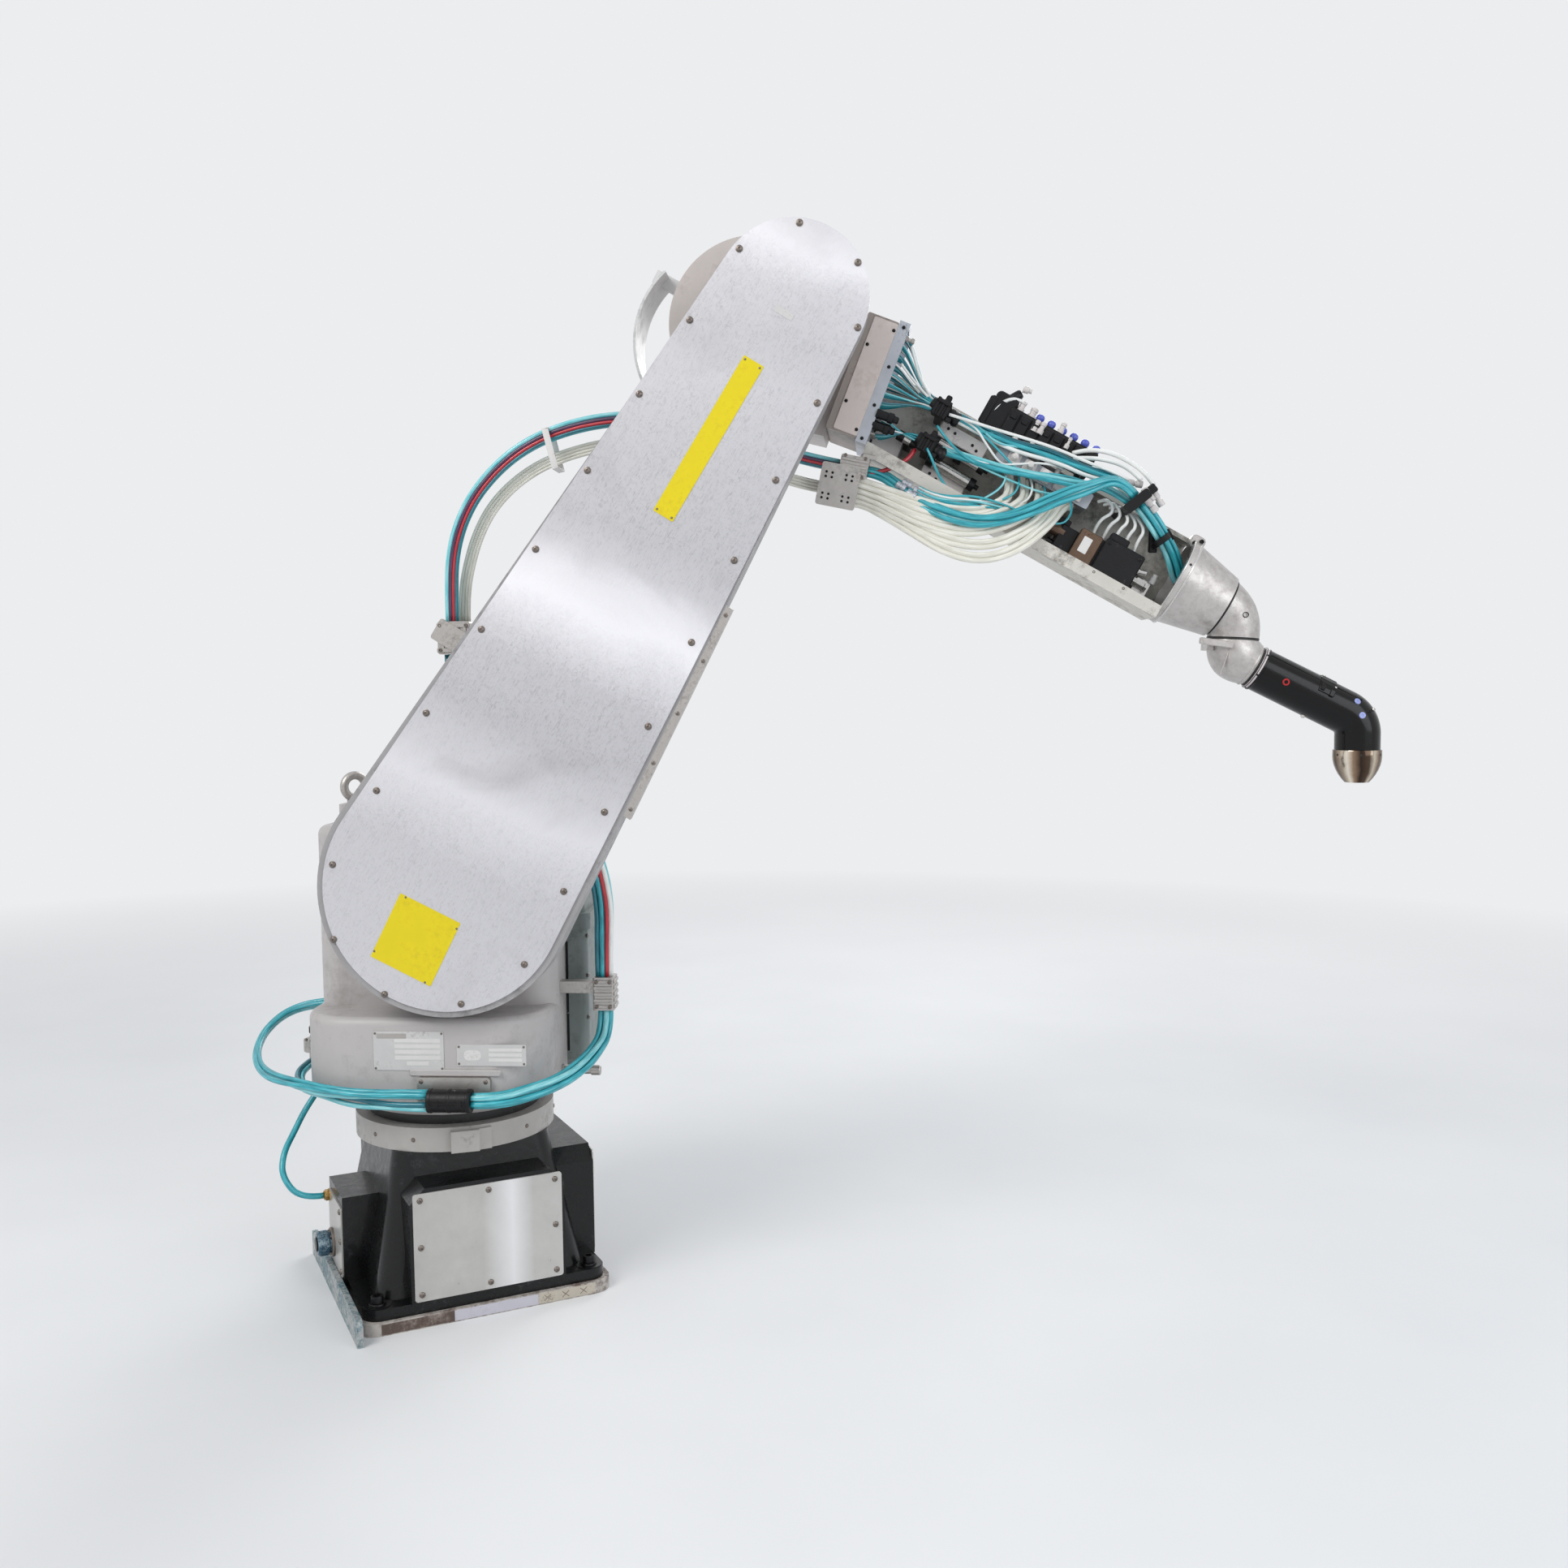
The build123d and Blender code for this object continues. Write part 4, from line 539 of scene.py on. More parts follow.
button_head = head_pattern("button_head", ((.5, -.02), (.5, .07), (.47, .16), (.38, .24), (.25, .28),
                                           (.2, .28), (.19, .12)))
cap_head = head_pattern("cap_head", ((.5, -.02), (.5, .52), (.46, .58), (.27, .58), (.26, .3)))
pin_head = head_pattern("pin_head", ((.5, -.02), (.5, .06), (.42, .18), (.2, .24)), 12)


def grid(across, up, depth=0):
    """Spots in a local frame: one at each height of each column."""
    return [(x, z, depth) for x in across for z in up]


def from_frame(place, spots):
    """Spots given in a local frame in millimetres, as places in metres facing out of that frame."""
    facing = (place.to_3x3() @ Vector((0, 0, 1))).normalized()
    return [(place @ Vector(spot), facing) for spot in spots]


black_enamel = skin("black_enamel", (12, 13, 14), (84, 88, 90), rough=(0.2, 0.42), patches=7,
                    show=(0.33, 0.42), strength=0.3, depth=0.2, grain=(70, 70, 70), tone=0.3,
                    Coat_Weight=0.15, Specular_IOR_Level=0.3)
plate_steel = skin("plate_steel", (190, 184, 178), (92, 74, 66), rough=(0.4, 0.7), patches=9,
                   show=(0.22, 0.34), strength=0.85, depth=0.4, grain=(180, 180, 180), tone=0.16)
bar_steel = skin("bar_steel", (182, 184, 184), (58, 104, 116), metal=0.2, rough=(0.25, 0.6), patches=16,
                 show=(0.2, 0.3), strength=0.85, depth=0.4, tone=0.25)
rolled = dict(metal=0.5, rough=(0.26, 0.42), patches=2.6, show=(0.2, 0.5), strength=0.55,
              grain=(900, 900, 60), depth=0.05, tone=0.05)
sheet_aluminium = skin("sheet_aluminium", (186, 184, 180), (224, 224, 222), **rolled)
zinc = skin("zinc", (128, 120, 114), (58, 50, 46), metal=0.9, rough=(0.25, 0.5), patches=60, strength=0.7,
            depth=0.05)
black_steel = skin("black_steel", (28, 28, 30), (84, 78, 72), metal=0.6, rough=(0.25, 0.45), patches=30,
                   depth=0.15)
brass = skin("brass", (186, 152, 96), (110, 84, 50), metal=1.0, rough=(0.22, 0.42), patches=50, depth=0.05)
connector_blue = skin("connector_blue", (66, 96, 114), (176, 192, 198), metal=0.6, rough=(0.2, 0.42),
                      patches=40, show=(0.24, 0.34), depth=0.1)


def set_screws(name, body, spots, width, head, material=zinc):
    """Screws of one kind on one body: spots are (place in metres, facing)."""
    mesh = bpy.data.meshes.new(name)
    mesh.from_pydata([tuple(place) for place, facing in spots], [], [])
    facings = mesh.attributes.new("facing", "FLOAT_VECTOR", "POINT")
    for value, (place, facing) in zip(facings.data, spots):
        value.vector = facing
    points = bpy.data.objects.new(name + "_places", mesh)
    bpy.context.scene.collection.objects.link(points)
    modifier = points.modifiers.new("screws", "NODES")
    modifier.node_group = screw_setting
    modifier[screw_inputs["Screw"]] = head
    modifier[screw_inputs["Head width"]] = width * mm
    modifier[screw_inputs["Finish"]] = material
    made = bpy.data.meshes.new_from_object(points.evaluated_get(bpy.context.evaluated_depsgraph_get()))
    points.modifiers.remove(modifier)
    bpy.data.objects.remove(points)
    mount(name, made, body)


dress(black_enamel, "base_casting")
dress(plate_steel, "base_plate")
dress(bar_steel, "locating_bar")

# The front cover has the same finish, with a painted highlight: one upright bright band right of its middle
front_metal = skin("front_cover_metal", (184, 182, 178), (212, 211, 208), **rolled)
tree = front_metal.node_tree
shader = tree.nodes["Principled BSDF"]
sides = [corner.co.x for corner in bpy.data.objects["base_front_cover"].data.vertices]
apart = add(tree, "ShaderNodeSeparateXYZ", {"Vector": add(tree, "ShaderNodeTexCoord").outputs["Object"]})
across = spread(tree, apart.outputs["X"], From_Min=min(sides), From_Max=max(sides))
band = maths(tree, "MULTIPLY", fade(tree, across, 0.46, 0.66, 0.75), fade(tree, across, 0.66, 0.80, 0.1, 1.0))
painted_highlight = laid(tree, band, shader.inputs["Base Color"].links[0].from_socket, shade(244, 244, 246))
tree.links.new(painted_highlight, shader.inputs["Base Color"])
dress(front_metal, "base_front_cover")
dress(sheet_aluminium, "base_side_covers")


def foot_side(quarter):
    """Frame of one side of the foot: 0 front, 1 right, 2 rear, 3 left, in millimetres up and across."""
    turn = math.radians(30 + 90 * quarter)
    return on((0, 0, 0), (math.cos(turn), math.sin(turn), 0), (math.sin(turn), -math.cos(turn), 0))


cover_spots = [(x, 159 + z, 253) for x, z in ((-136, 94), (136, 94), (-136, -94), (136, -94), (0, 94),
                                              (0, -94), (-136, 0), (136, 0))]
inlet_spots = [(x, 127 + z, 257) for x, z in ((-60, 62), (60, 62), (-60, -62), (60, -62), (60, 0))]
spots = [spot for quarter in (0, 1, 2) for spot in from_frame(foot_side(quarter), cover_spots)]
set_screws("cover_screws", "foot", spots + from_frame(foot_side(3), inlet_spots), 12, button_head)

# The plate's front edge: stained at one end, wiped clean in the middle, three scribed crosses at the other
edge_brown = skin("edge_brown", (92, 76, 68), (168, 156, 148), rough=(0.4, 0.7), patches=24,
                  show=(0.22, 0.36), strength=0.7, tone=0.25)
edge_clean = skin("edge_clean", (196, 194, 204), (170, 166, 172), rough=(0.35, 0.5), patches=10,
                  strength=0.4, tone=0.03)
edge_beige = skin("edge_beige", (190, 182, 168), (128, 116, 104), rough=(0.4, 0.65), patches=24,
                  strength=0.6, tone=0.08)
plate_front = foot_side(0)
build = bmesh.new()
block(build, 142, 21, 1.0, moved(plate_front, -146, 12.5, 256.6), 1, 0.3, 0)
block(build, 170, 21, 1.0, moved(plate_front, 10, 12.5, 256.6), 1, 0.3, 1)
block(build, 121, 21, 1.0, moved(plate_front, 156, 12.5, 256.6), 1, 0.3, 2)
for x in (114, 152, 190):
    for lean_turn in (-40, 40):
        block(build, 19, 1.3, 0.4, moved(plate_front, x, 12.5, 257.5, lean_turn), 0.4, 0.1, 0)
close("plate_edge", build, [edge_brown, edge_clean, edge_beige], "foot")

foot_frame = Matrix.Rotation(math.radians(30), 4, "Z") @ Matrix.Scale(mm, 4)
corners = [(sx * 216, sy * 216) for sx in (-1, 1) for sy in (-1, 1)]
build = bmesh.new()
for x, y in corners:
    place = moved(foot_frame, x, y)
    turned(build, ((16.5, 49), (16.5, 51), (15.5, 52.5)), place, 24)
    turned(build, ((11.4, 52), (12.2, 53), (12.2, 65), (11.4, 67), (6.8, 67), (6.6, 60)), place, 28)
close("foot_bolt_heads", build, [black_steel], "foot", ("foot_bolts",))

inlet = foot_side(3)
sideways = Matrix.Rotation(math.pi / 2, 4, "Y")
plug = moved(inlet, -30, 97)
build = bmesh.new()
turned(build, ((30, 257), (30, 261.5), (28.5, 263)), plug, 32)
for a in (math.radians(45 + 90 * k) for k in range(4)):
    turned(build, ((3, 262), (3, 265), (2, 266)),
           moved(inlet, -30 + 25 * math.cos(a), 97 + 25 * math.sin(a)), 10)
turned(build, ((22, 262), (22, 266), (25, 268), (25, 287), (22, 290), (16, 290), (15, 285)),
       plug, 32, 1)
for k in range(22):
    a = 2 * math.pi * k / 22
    block(build, 3.2, 17, 1.6, plug @ Matrix.Rotation(a, 4, "Z") @ Matrix.Translation((24.2, 0, 277.5))
          @ sideways @ Matrix.Rotation(math.pi / 2, 4, "Z"), 0.8, 0.5, 1)
turned(build, ((14, 284), (14, 292.5), (11, 293)), plug, 24, 2)
close("power_connector", build, [zinc, connector_blue, black_steel], "foot",
      ("base_connector",))

build = bmesh.new()
place = moved(inlet, -60, 188)
turned(build, ((13, 257), (13, 258.2), (12.4, 259)), place, 28)
turned(build, ((11, 259), (12, 260), (12, 265), (11, 266)), place, 6)
turned(build, ((9.5, 265.5), (9.5, 268.2), (8.2, 268.8)), place, 24)
close("hose_gland", build, [brass], "foot", ("base_gland",))

# Red marking band round the base hose, just under the regulator
mark_red = skin("mark_red", (176, 24, 30), (120, 16, 22), rough=(0.3, 0.4), patches=60, tone=0.08)
build = bmesh.new()
turned(build, ((7.0, 0), (7.7, 0.6), (7.7, 11.4), (7.0, 12)),
       on((-303.5, 14, 404), (0, 1, 0), (-0.32, -0.42, -0.85)), 20)
close("hose_band", build, [mark_red], "turret")

# Swivel
# A painted ring with its end stops bolted to it, and the dark sealed bearing above it.
ring_paint = skin("ring_paint", (178, 174, 170), (84, 80, 76), patches=8, show=(0.26, 0.38),
                  strength=0.55, depth=0.12, tone=0.12)
seal_black = skin("seal_black", (24, 24, 25), (70, 66, 62), patches=12, depth=0.2)
dress(ring_paint, "stop_ring")
dress(seal_black, "swivel_bearing")
ring_spots = [(Vector((205 * math.cos(a), 205 * math.sin(a), 347)) * mm, (math.cos(a), math.sin(a), 0))
              for a in (math.radians(turn) for turn in (-30, 12, 55, 100, 145, 190, 235, 262))]
set_screws("ring_screws", "foot", ring_spots, 9, pin_head)

# Turret
# A welded and machined column in pale grey paint, stained where the hoses rub. It carries the shoulder
# gearbox behind the arm, the drive's housing on its right, an eye bolt, an air regulator and hose holders.
turret_paint = skin("turret_paint", (184, 180, 179), (148, 142, 138), rough=(0.35, 0.6), patches=4.5,
                    show=(0.27, 0.42), strength=0.55, depth=0.12, tone=0.06)
drive_paint = skin("drive_paint", (126, 134, 132), (74, 78, 76), rough=(0.35, 0.6), patches=6,
                   show=(0.24, 0.38), strength=0.7, depth=0.12, tone=0.14)
hub_paint = skin("hub_paint", (140, 139, 139), (92, 90, 88), patches=6, strength=0.6, tone=0.12)
bare_aluminium = skin("bare_aluminium", (182, 178, 174), (120, 114, 110), metal=0.75, rough=(0.28, 0.5),
                      patches=22, show=(0.26, 0.4), strength=0.6, grain=(500, 500, 90), depth=0.06, tone=0.12)
plate_print = skin("plate_print", (204, 203, 202), (164, 160, 156), metal=0.4, patches=20, tone=0.05)
blank_white = skin("blank_white", (216, 214, 212), (190, 186, 182), rough=(0.4, 0.6), patches=30, tone=0.04)
black_rubber = skin("black_rubber", (12, 12, 14), (205, 205, 205), rough=(0.3, 0.55), patches=26,
                    show=(0.40, 0.43), strength=0.8, depth=0.15, tone=0.3, Specular_IOR_Level=0.3)
black_plastic = skin("black_plastic", (13, 13, 16), (88, 88, 92), rough=(0.28, 0.5), patches=26,
                     show=(0.34, 0.44), strength=0.45, depth=0.12, tone=0.3, Specular_IOR_Level=0.32)
dress(turret_paint, "turret_column")
dress(drive_paint, "turret_drive")
dress(hub_paint, "shoulder_hub")
dress(bare_aluminium, "lifting_eye", "turret_hose_clamp", "sleeve_bracket", "regulator")

front = on((0, -215, 0), (1, 0, 0), (0, -1, 0))
build = bmesh.new()
block(build, 142, 78, 1.6, moved(front, -28, 531), 3, 0.4)
block(build, 139, 43, 1.4, moved(front, 138, 523), 3, 0.4)
for row in range(5):
    wide = 92 if row < 4 else 44
    block(build, wide, 7.5, 0.5, moved(front, -10, 552 - row * 11.5, 1.5), 1, 0.15, 1)
block(build, 60, 10, 0.4, moved(front, -62, 561, 1.5), 1, 0.15, 2)
block(build, 34, 20, 0.4, moved(front, 100, 523, 1.3), 9, 0.15, 1)
for row in range(3):
    block(build, 66, 6, 0.4, moved(front, 166, 534 - row * 10, 1.3), 1, 0.15, 1)
close("blank_plates", build, [plate_print, blank_white, bare_aluminium], "turret")
rivets = [(x + sx * dx, z + sz * dz, high)
          for x, z, dx, dz, high in ((-28, 531, 67, 35, 1.6), (138, 523, 65, 17, 1.4))
          for sx, sz in ((1, 1), (-1, 1), (1, -1), (-1, -1))]
set_screws("plate_rivets", "turret", from_frame(front, rivets), 5, pin_head)

build = bmesh.new()
block(build, 184, 13, 5, moved(front, 65, 487.5, -0.5), 5, 2)
close("sleeve_ledge", build, [turret_paint], "turret")
build = bmesh.new()
block(build, 12, 5, 6, on((8, -221, 430), (1, 0, 0), (0, 0, -1)), 2, 0.6)
turned(build, ((5.2, 5), (6, 6), (6, 13), (5, 14), (4, 14), (4, 18)),
       on((8, -221, 430), (1, 0, 0), (0, 0, -1)), 6)
close("drain_stub", build, [brass], "turret")
set_screws("bracket_screws", "turret", from_frame(front, grid((-2, 128), (439, 472), 10.7)), 9, button_head)

# The sleeve: two rubber shells closed round the tubes, with a rib at each end and a seam along the front
build = bmesh.new()
sleeve = on((19.5, -250, 441), (0, 1, 0), (1, 0, 0))
turned(build, ((21, 0), (23.4, 0.8), (24, 2), (24, 8), (22.8, 9), (22.8, 40), (23.6, 41), (23.6, 46),
               (22.8, 47), (22.8, 78), (24, 79), (24, 85), (23.4, 86.2), (21, 87)), sleeve, 36)
block(build, 70, 3, 1.6, on((63, -272.6, 441), (1, 0, 0), (0, -1, 0)), 1, 0.4)
for x in (40, 86):
    block(build, 12, 14, 3, on((x, -271.6, 441), (1, 0, 0), (0, -1, 0)), 3, 0.8)
close("hose_sleeve_shell", build, [black_rubber], "turret", ("hose_sleeve",))

# Hose clamp: two ribbed halves pulled together by four screws
build = bmesh.new()
for side, turn in ((-1, (0, -1, 0)), (1, (1, 0, 0))):
    face = on((330, -44, 608) if side < 0 else (352, -20, 608), (1, 0, 0) if side < 0 else (0, 1, 0), turn)
    for row in range(5):
        block(build, 40 if side < 0 else 44, 7, 2.2, moved(face, 0, -26 + row * 13, -0.2), 1.5, 0.7)
close("clamp_ribs", build, [bare_aluminium], "turret")
clamp_front = on((330, -46, 608), (1, 0, 0), (0, -1, 0))
set_screws("clamp_screws", "turret", from_frame(clamp_front, grid((-14, 14), (-26, 26))), 8, cap_head)

# Drive housing: a dark gasket against the column, the cover's screws and a drain pipe, then the lid's screws
build = bmesh.new()
block(build, 5, 236, 1.6, on((239.5, 30.4, 588), (1, 0, 0), (0, -1, 0)), 2, 0.4)
close("drive_gasket", build, [black_rubber], "turret")
drive_side = on((282, 100, 586), (0, 1, 0), (1, 0, 0))
drive_spots = grid((-60, 60), (-130, -45, 45, 130))
set_screws("drive_screws", "turret", from_frame(drive_side, drive_spots), 9, button_head)
build = bmesh.new()
pipe = on((235, -20, 442), (0, 1, 0), (1, 0, 0))
turned(build, ((13, 0), (13, 4), (8, 5), (8, 62), (10.5, 63), (10.5, 80), (9, 82)), pipe, 22)
close("drain_pipe", build, [bare_aluminium], "turret")
set_screws("turret_lid_screws", "turret", [
    (Vector((x, y, 965)) * mm, (0, 0, 1)) for x in (-200, -13, 175) for y in (-50, 60, 170)], 12, cap_head)

# Air regulator: a flanged silver body under a black adjusting cap, with brass outlets for its hoses
build = bmesh.new()
upright = on((-300, 20, 0), (1, 0, 0), (0, 0, 1))
turned(build, ((19.6, 500), (19.6, 503), (17, 504), (17, 509), (20.4, 510), (20.4, 524), (17, 527),
               (17, 531.5), (9, 533)), upright, 28)
for k in range(20):
    a = 2 * math.pi * k / 20
    block(build, 3, 12, 1.4, on((-300 + 20 * math.cos(a), 20 + 20 * math.sin(a), 517),
                                (-math.sin(a), math.cos(a), 0), (math.cos(a), math.sin(a), 0)), 0.6, 0.4)
close("regulator_cap", build, [black_plastic], "turret")
build = bmesh.new()
for x, y, z in ((-293, 0, 461), (-308, 0, 451)):
    turned(build, ((8, 0), (8, 8), (6.5, 9), (6.5, 15), (5, 16)), on((x, y, z), (1, 0, 0), (0, -1, 0)), 6)
turned(build, ((9, 0), (9, 6), (7.5, 7), (7.5, 15)), on((-300, 20, 441), (1, 0, 0), (0, 0, -1)), 6)
close("regulator_outlets", build, [brass], "turret")
set_screws("regulator_screws", "turret", [
    (Vector((-300 + 28 * math.cos(a), 20 + 28 * math.sin(a), 496)) * mm, (0, 0, 1))
    for a in (0.6, 1.8, 2.6, 3.7, 4.4, 5.6)], 6, cap_head)

# Black manifold on the turret's left, which the hose loop runs into
build = bmesh.new()
inlet_block = on((-262, 95, 566), (0, -1, 0), (-1, 0, 0))
block(build, 64, 92, 27, inlet_block, 5, 1.5)
turned(build, ((16, 26), (16, 31), (13, 33)), on((-262, 101, 558), (0, -1, 0), (-1, 0, 0)), 24)
turned(build, ((9, 26), (9, 36), (6, 38)), on((-262, 74, 594), (0, -1, 0), (-1, 0, 0)), 6, 1)
turned(build, ((9, 26), (9, 36), (6, 38)), on((-262, 118, 594), (0, -1, 0), (-1, 0, 0)), 6, 1)
close("loop_manifold", build, [black_plastic, brass], "turret")

# Inner arm
# A deep grey casting closed by a brushed aluminium cover, screwed down all round its edge, with a
# guard strip along the right edge, two blank yellow plates and a hose clamp behind the left edge.
slope = math.radians(58.1)
arm = on((62, 0, 857), (math.cos(slope), 0, math.sin(slope)), (0, -1, 0))


def streaks(tree, value, stops):
    """Streaks of many shades across a surface, from (place from 0 to 1, colour) pairs."""
    node = add(tree, "ShaderNodeValToRGB", {"Fac": value})
    for spare in stops[2:]:
        node.color_ramp.elements.new(0.5)
    for element, (position, colour) in zip(node.color_ramp.elements, stops):
        element.position = position
        element.color = shade(*colour)
    return node.outputs["Color"]


cover_metal, tree, shader = begin("cover_metal", Metallic=0.45)
where = add(tree, "ShaderNodeTexCoord").outputs["Object"]
turn = add(tree, "ShaderNodeMapping", {"Vector": where, "Rotation": (0, slope, 0)}).outputs[0]
brush = noise(tree, stretched(tree, turn, (60, 60, 900)), 1.0, 6.0, Roughness=0.7)
swirl = noise(tree, where, 110.0, 7.0, Roughness=0.75, Distortion=1.6)
smear = noise(tree, where, 3.2, 5.0, Distortion=1.0)
apart = add(tree, "ShaderNodeSeparateXYZ", {"Vector": where})
lean = maths(tree, "MULTIPLY_ADD", apart.outputs["X"], 0.45, apart.outputs["Z"])
bent = maths(tree, "MULTIPLY_ADD", swirl, 0.09, maths(tree, "MULTIPLY_ADD", smear, 0.16, lean))
height = spread(tree, bent, From_Min=0.725, From_Max=2.725)
# Painted light: the streak levels lay bright painted highlight bands across the arm where the lamps reflect,
# with darker painted shade bands between them, bent by the smear
levels = ((0.0, 204), (0.10, 200), (0.175, 196), (0.247, 230), (0.28, 208), (0.337, 178), (0.40, 188),
          (0.435, 226), (0.467, 255), (0.50, 238), (0.53, 200), (0.567, 180), (0.65, 186), (0.75, 198),
          (0.805, 188), (0.86, 204), (0.90, 242), (0.94, 216), (1.0, 202))
painted_highlight_bands = streaks(tree, height, [(position, (grey - 8, grey - 9, grey - 5)) for position, grey in levels])
fine = maths(tree, "ADD", brush, swirl)
wear_and_highlights = laid(tree, fade(tree, fine, 0.8, 1.25, 0.3), painted_highlight_bands, shade(243, 242, 246))
stains_wear_and_highlights = laid(tree, fade(tree, smear, 0.56, 0.72, 0.22), wear_and_highlights, shade(140, 136, 138))
surface(tree, shader, stains_wear_and_highlights, spread(tree, swirl, To_Min=0.26, To_Max=0.5), fine, 0.06)
housing_paint = skin("housing_paint", (158, 156, 157), (96, 94, 94), rough=(0.35, 0.55), patches=5,
                     show=(0.26, 0.4), strength=0.6, depth=0.12, tone=0.12)
plate_yellow = skin("plate_yellow", (226, 206, 6), (196, 172, 10), rough=(0.3, 0.45), patches=14,
                    show=(0.24, 0.4), strength=0.5, depth=0.04, tone=0.04)
dress(cover_metal, "arm_cover")
dress(housing_paint, "arm_housing")
dress(bare_aluminium, "arm_edge_strip", "arm_hose_clamp")

build = bmesh.new()
block(build, 332, 43, 1.0, moved(arm, 999, 0, 256), 2, 0.3)
block(build, 139, 131, 1.0, moved(arm, -112, -3, 256, 5), 2, 0.3)
close("blank_yellow_plates", build, [plate_yellow], "inner_arm")
build = bmesh.new()
block(build, 13, 38, 0.7, moved(arm, 1268, -3, 256), 1.5, 0.2)
close("blank_small_label", build, [plate_print], "inner_arm")
rivets = [(999 + a, l, 257) for a in (-160, 160) for l in (-16, 16)]
rivets += [(-112 + a, -3 + l, 257) for a in (-62, 62) for l in (-58, 58)]
set_screws("plate_rivets_arm", "inner_arm", from_frame(arm, rivets), 4.5, pin_head)
edge_spots = [(a, l, 256) for a, l in ((1421, 57), (1325, 129), (1414, -73), (1314, -134), (1159, -141),
                                       (999, -148), (832, -158), (659, -168), (480, -179), (296, -191),
                                       (123, -202), (-40, -209), (-173, -143), (-237, -5), (-197, 135),
                                       (-71, 210), (99, 208), (279, 200), (472, 189), (656, 176), (833, 166),
                                       (1004, 154), (1168, 142))]
build = bmesh.new()
for spot in edge_spots:
    turned(build, ((7.0, -0.2), (7.0, 0.9), (6.4, 1.2)), arm @ Matrix.Translation(spot), 20)
close("cover_washers", build, [zinc], "inner_arm")
set_screws("arm_cover_screws", "inner_arm", from_frame(arm, [(a, l, 257.1) for a, l, z in edge_spots]),
           10.5, button_head)
set_screws("strip_screws", "inner_arm", from_frame(arm, [
    (a, -258.4 + a * 0.0841, 252) for a in (326, 425, 530, 640, 736)]), 8, button_head)

# Hose clamp and the flat tie that keeps the cream ribbon against the round hoses
clamp_face = on((76, -184, 1344), (1, 0, 0), (0, -1, 0))
build = bmesh.new()
for column in (-22, -8, 8, 22):
    block(build, 7, 58, 2.6, moved(clamp_face, column, 0, -0.3), 1.5, 0.8)
block(build, 66, 9, 3.4, moved(clamp_face, 0, 24, -0.3), 2, 1)
block(build, 66, 9, 3.4, moved(clamp_face, 0, -24, -0.3), 2, 1)
close("arm_clamp_ribs", build, [bare_aluminium], "inner_arm")
clamp_spots = grid((-26, 26), (-24, 24), 3)
set_screws("arm_clamp_screws", "inner_arm", from_frame(clamp_face, clamp_spots), 7, cap_head)
build = bmesh.new()
for y in (-190, -131):
    block(build, 13, 1.6, 76, on((285, y, 1668), (1, 0, 0), (-0.24, 0, 0.97)), 0.6, 0.3)
block(build, 13, 60, 1.6, on((267, -160.5, 1742), (0.97, 0, 0.24), (-0.24, 0, 0.97)), 0.8, 0.3)
block(build, 13, 60, 1.6, on((286, -160.5, 1666), (0.97, 0, 0.24), (-0.24, 0, 0.97)), 0.8, 0.3)
close("ribbon_tie", build, [blank_white], "inner_arm")

# Elbow
# A painted casting: a large drum behind the arm, a neck, and a sheet-metal valve box whose flanged
# bulkhead carries the push-in fittings of some twenty small tubes. A curved white guard shields the drum.
elbow_paint = skin("elbow_paint", (200, 192, 188), (146, 136, 132), rough=(0.35, 0.55), patches=6,
                   show=(0.27, 0.42), strength=0.5, depth=0.1, tone=0.1)
guard_white = skin("guard_white", (214, 214, 214), (138, 138, 140), patches=7, show=(0.26, 0.4),
                   strength=0.5, depth=0.08, tone=0.08)
box_sheet = skin("box_sheet", (216, 204, 198), (176, 160, 152), rough=(0.35, 0.55), patches=9,
                 show=(0.26, 0.42), strength=0.5, depth=0.06, tone=0.05)
# The valve box's body takes a darker copy of the cover sheet's colour: painted shade on its sides
box_side_shade = skin("box_side_shade", (156, 146, 140), (104, 92, 86), rough=(0.35, 0.6), patches=9, strength=0.6,
                tone=0.12)
flange_metal = skin("flange_metal", (184, 188, 196), (120, 120, 126), metal=0.4, patches=16, tone=0.1)
dress(elbow_paint, "elbow_housing", "elbow_drum")
dress(guard_white, "elbow_guard")
dress(box_side_shade, "valve_box")
dress(flange_metal, "bulkhead_plate")

forearm = on((elbow_x, 0, elbow_z), (cos_f, 0, -sin_f), (0, -1, 0))
box = moved(forearm, 167, -35, 0, 8.5)
build = bmesh.new()
block(build, 50, 228, 2.2, moved(box, 7, 0, 94.8), 3, 0.8)
block(build, 60, 190, 2.2, moved(on((elbow_x, 95, elbow_z), (cos_f, 0, -sin_f), (0, 1, 0)), 167, 35), 3, 0.8)
close("valve_box_cover", build, [box_sheet], "forearm")
box_spots = [(x, y, 97) for x, y in ((-12, 58), (-12, -57), (27, 100), (27, -102), (43, 32), (43, -46),
                                     (43, 112), (43, -114))]
set_screws("box_screws", "forearm", from_frame(box, box_spots), 7, button_head, black_steel)
drum_back = on(forearm_at(-64, -52, 111), (1, 0, 0), (0, 1, 0))
drum_spots = [(140 * math.cos(a), 140 * math.sin(a), 0) for a in (2 * math.pi * k / 12 for k in range(12))]
set_screws("drum_screws", "forearm", from_frame(drum_back, drum_spots), 12, cap_head)
build = bmesh.new()
turned(build, ((62, -0.5), (62, 3), (60, 4.5), (24, 4.5), (22, 7), (14, 8)), drum_back, 40)
close("drum_hub_cap", build, [elbow_paint], "forearm")

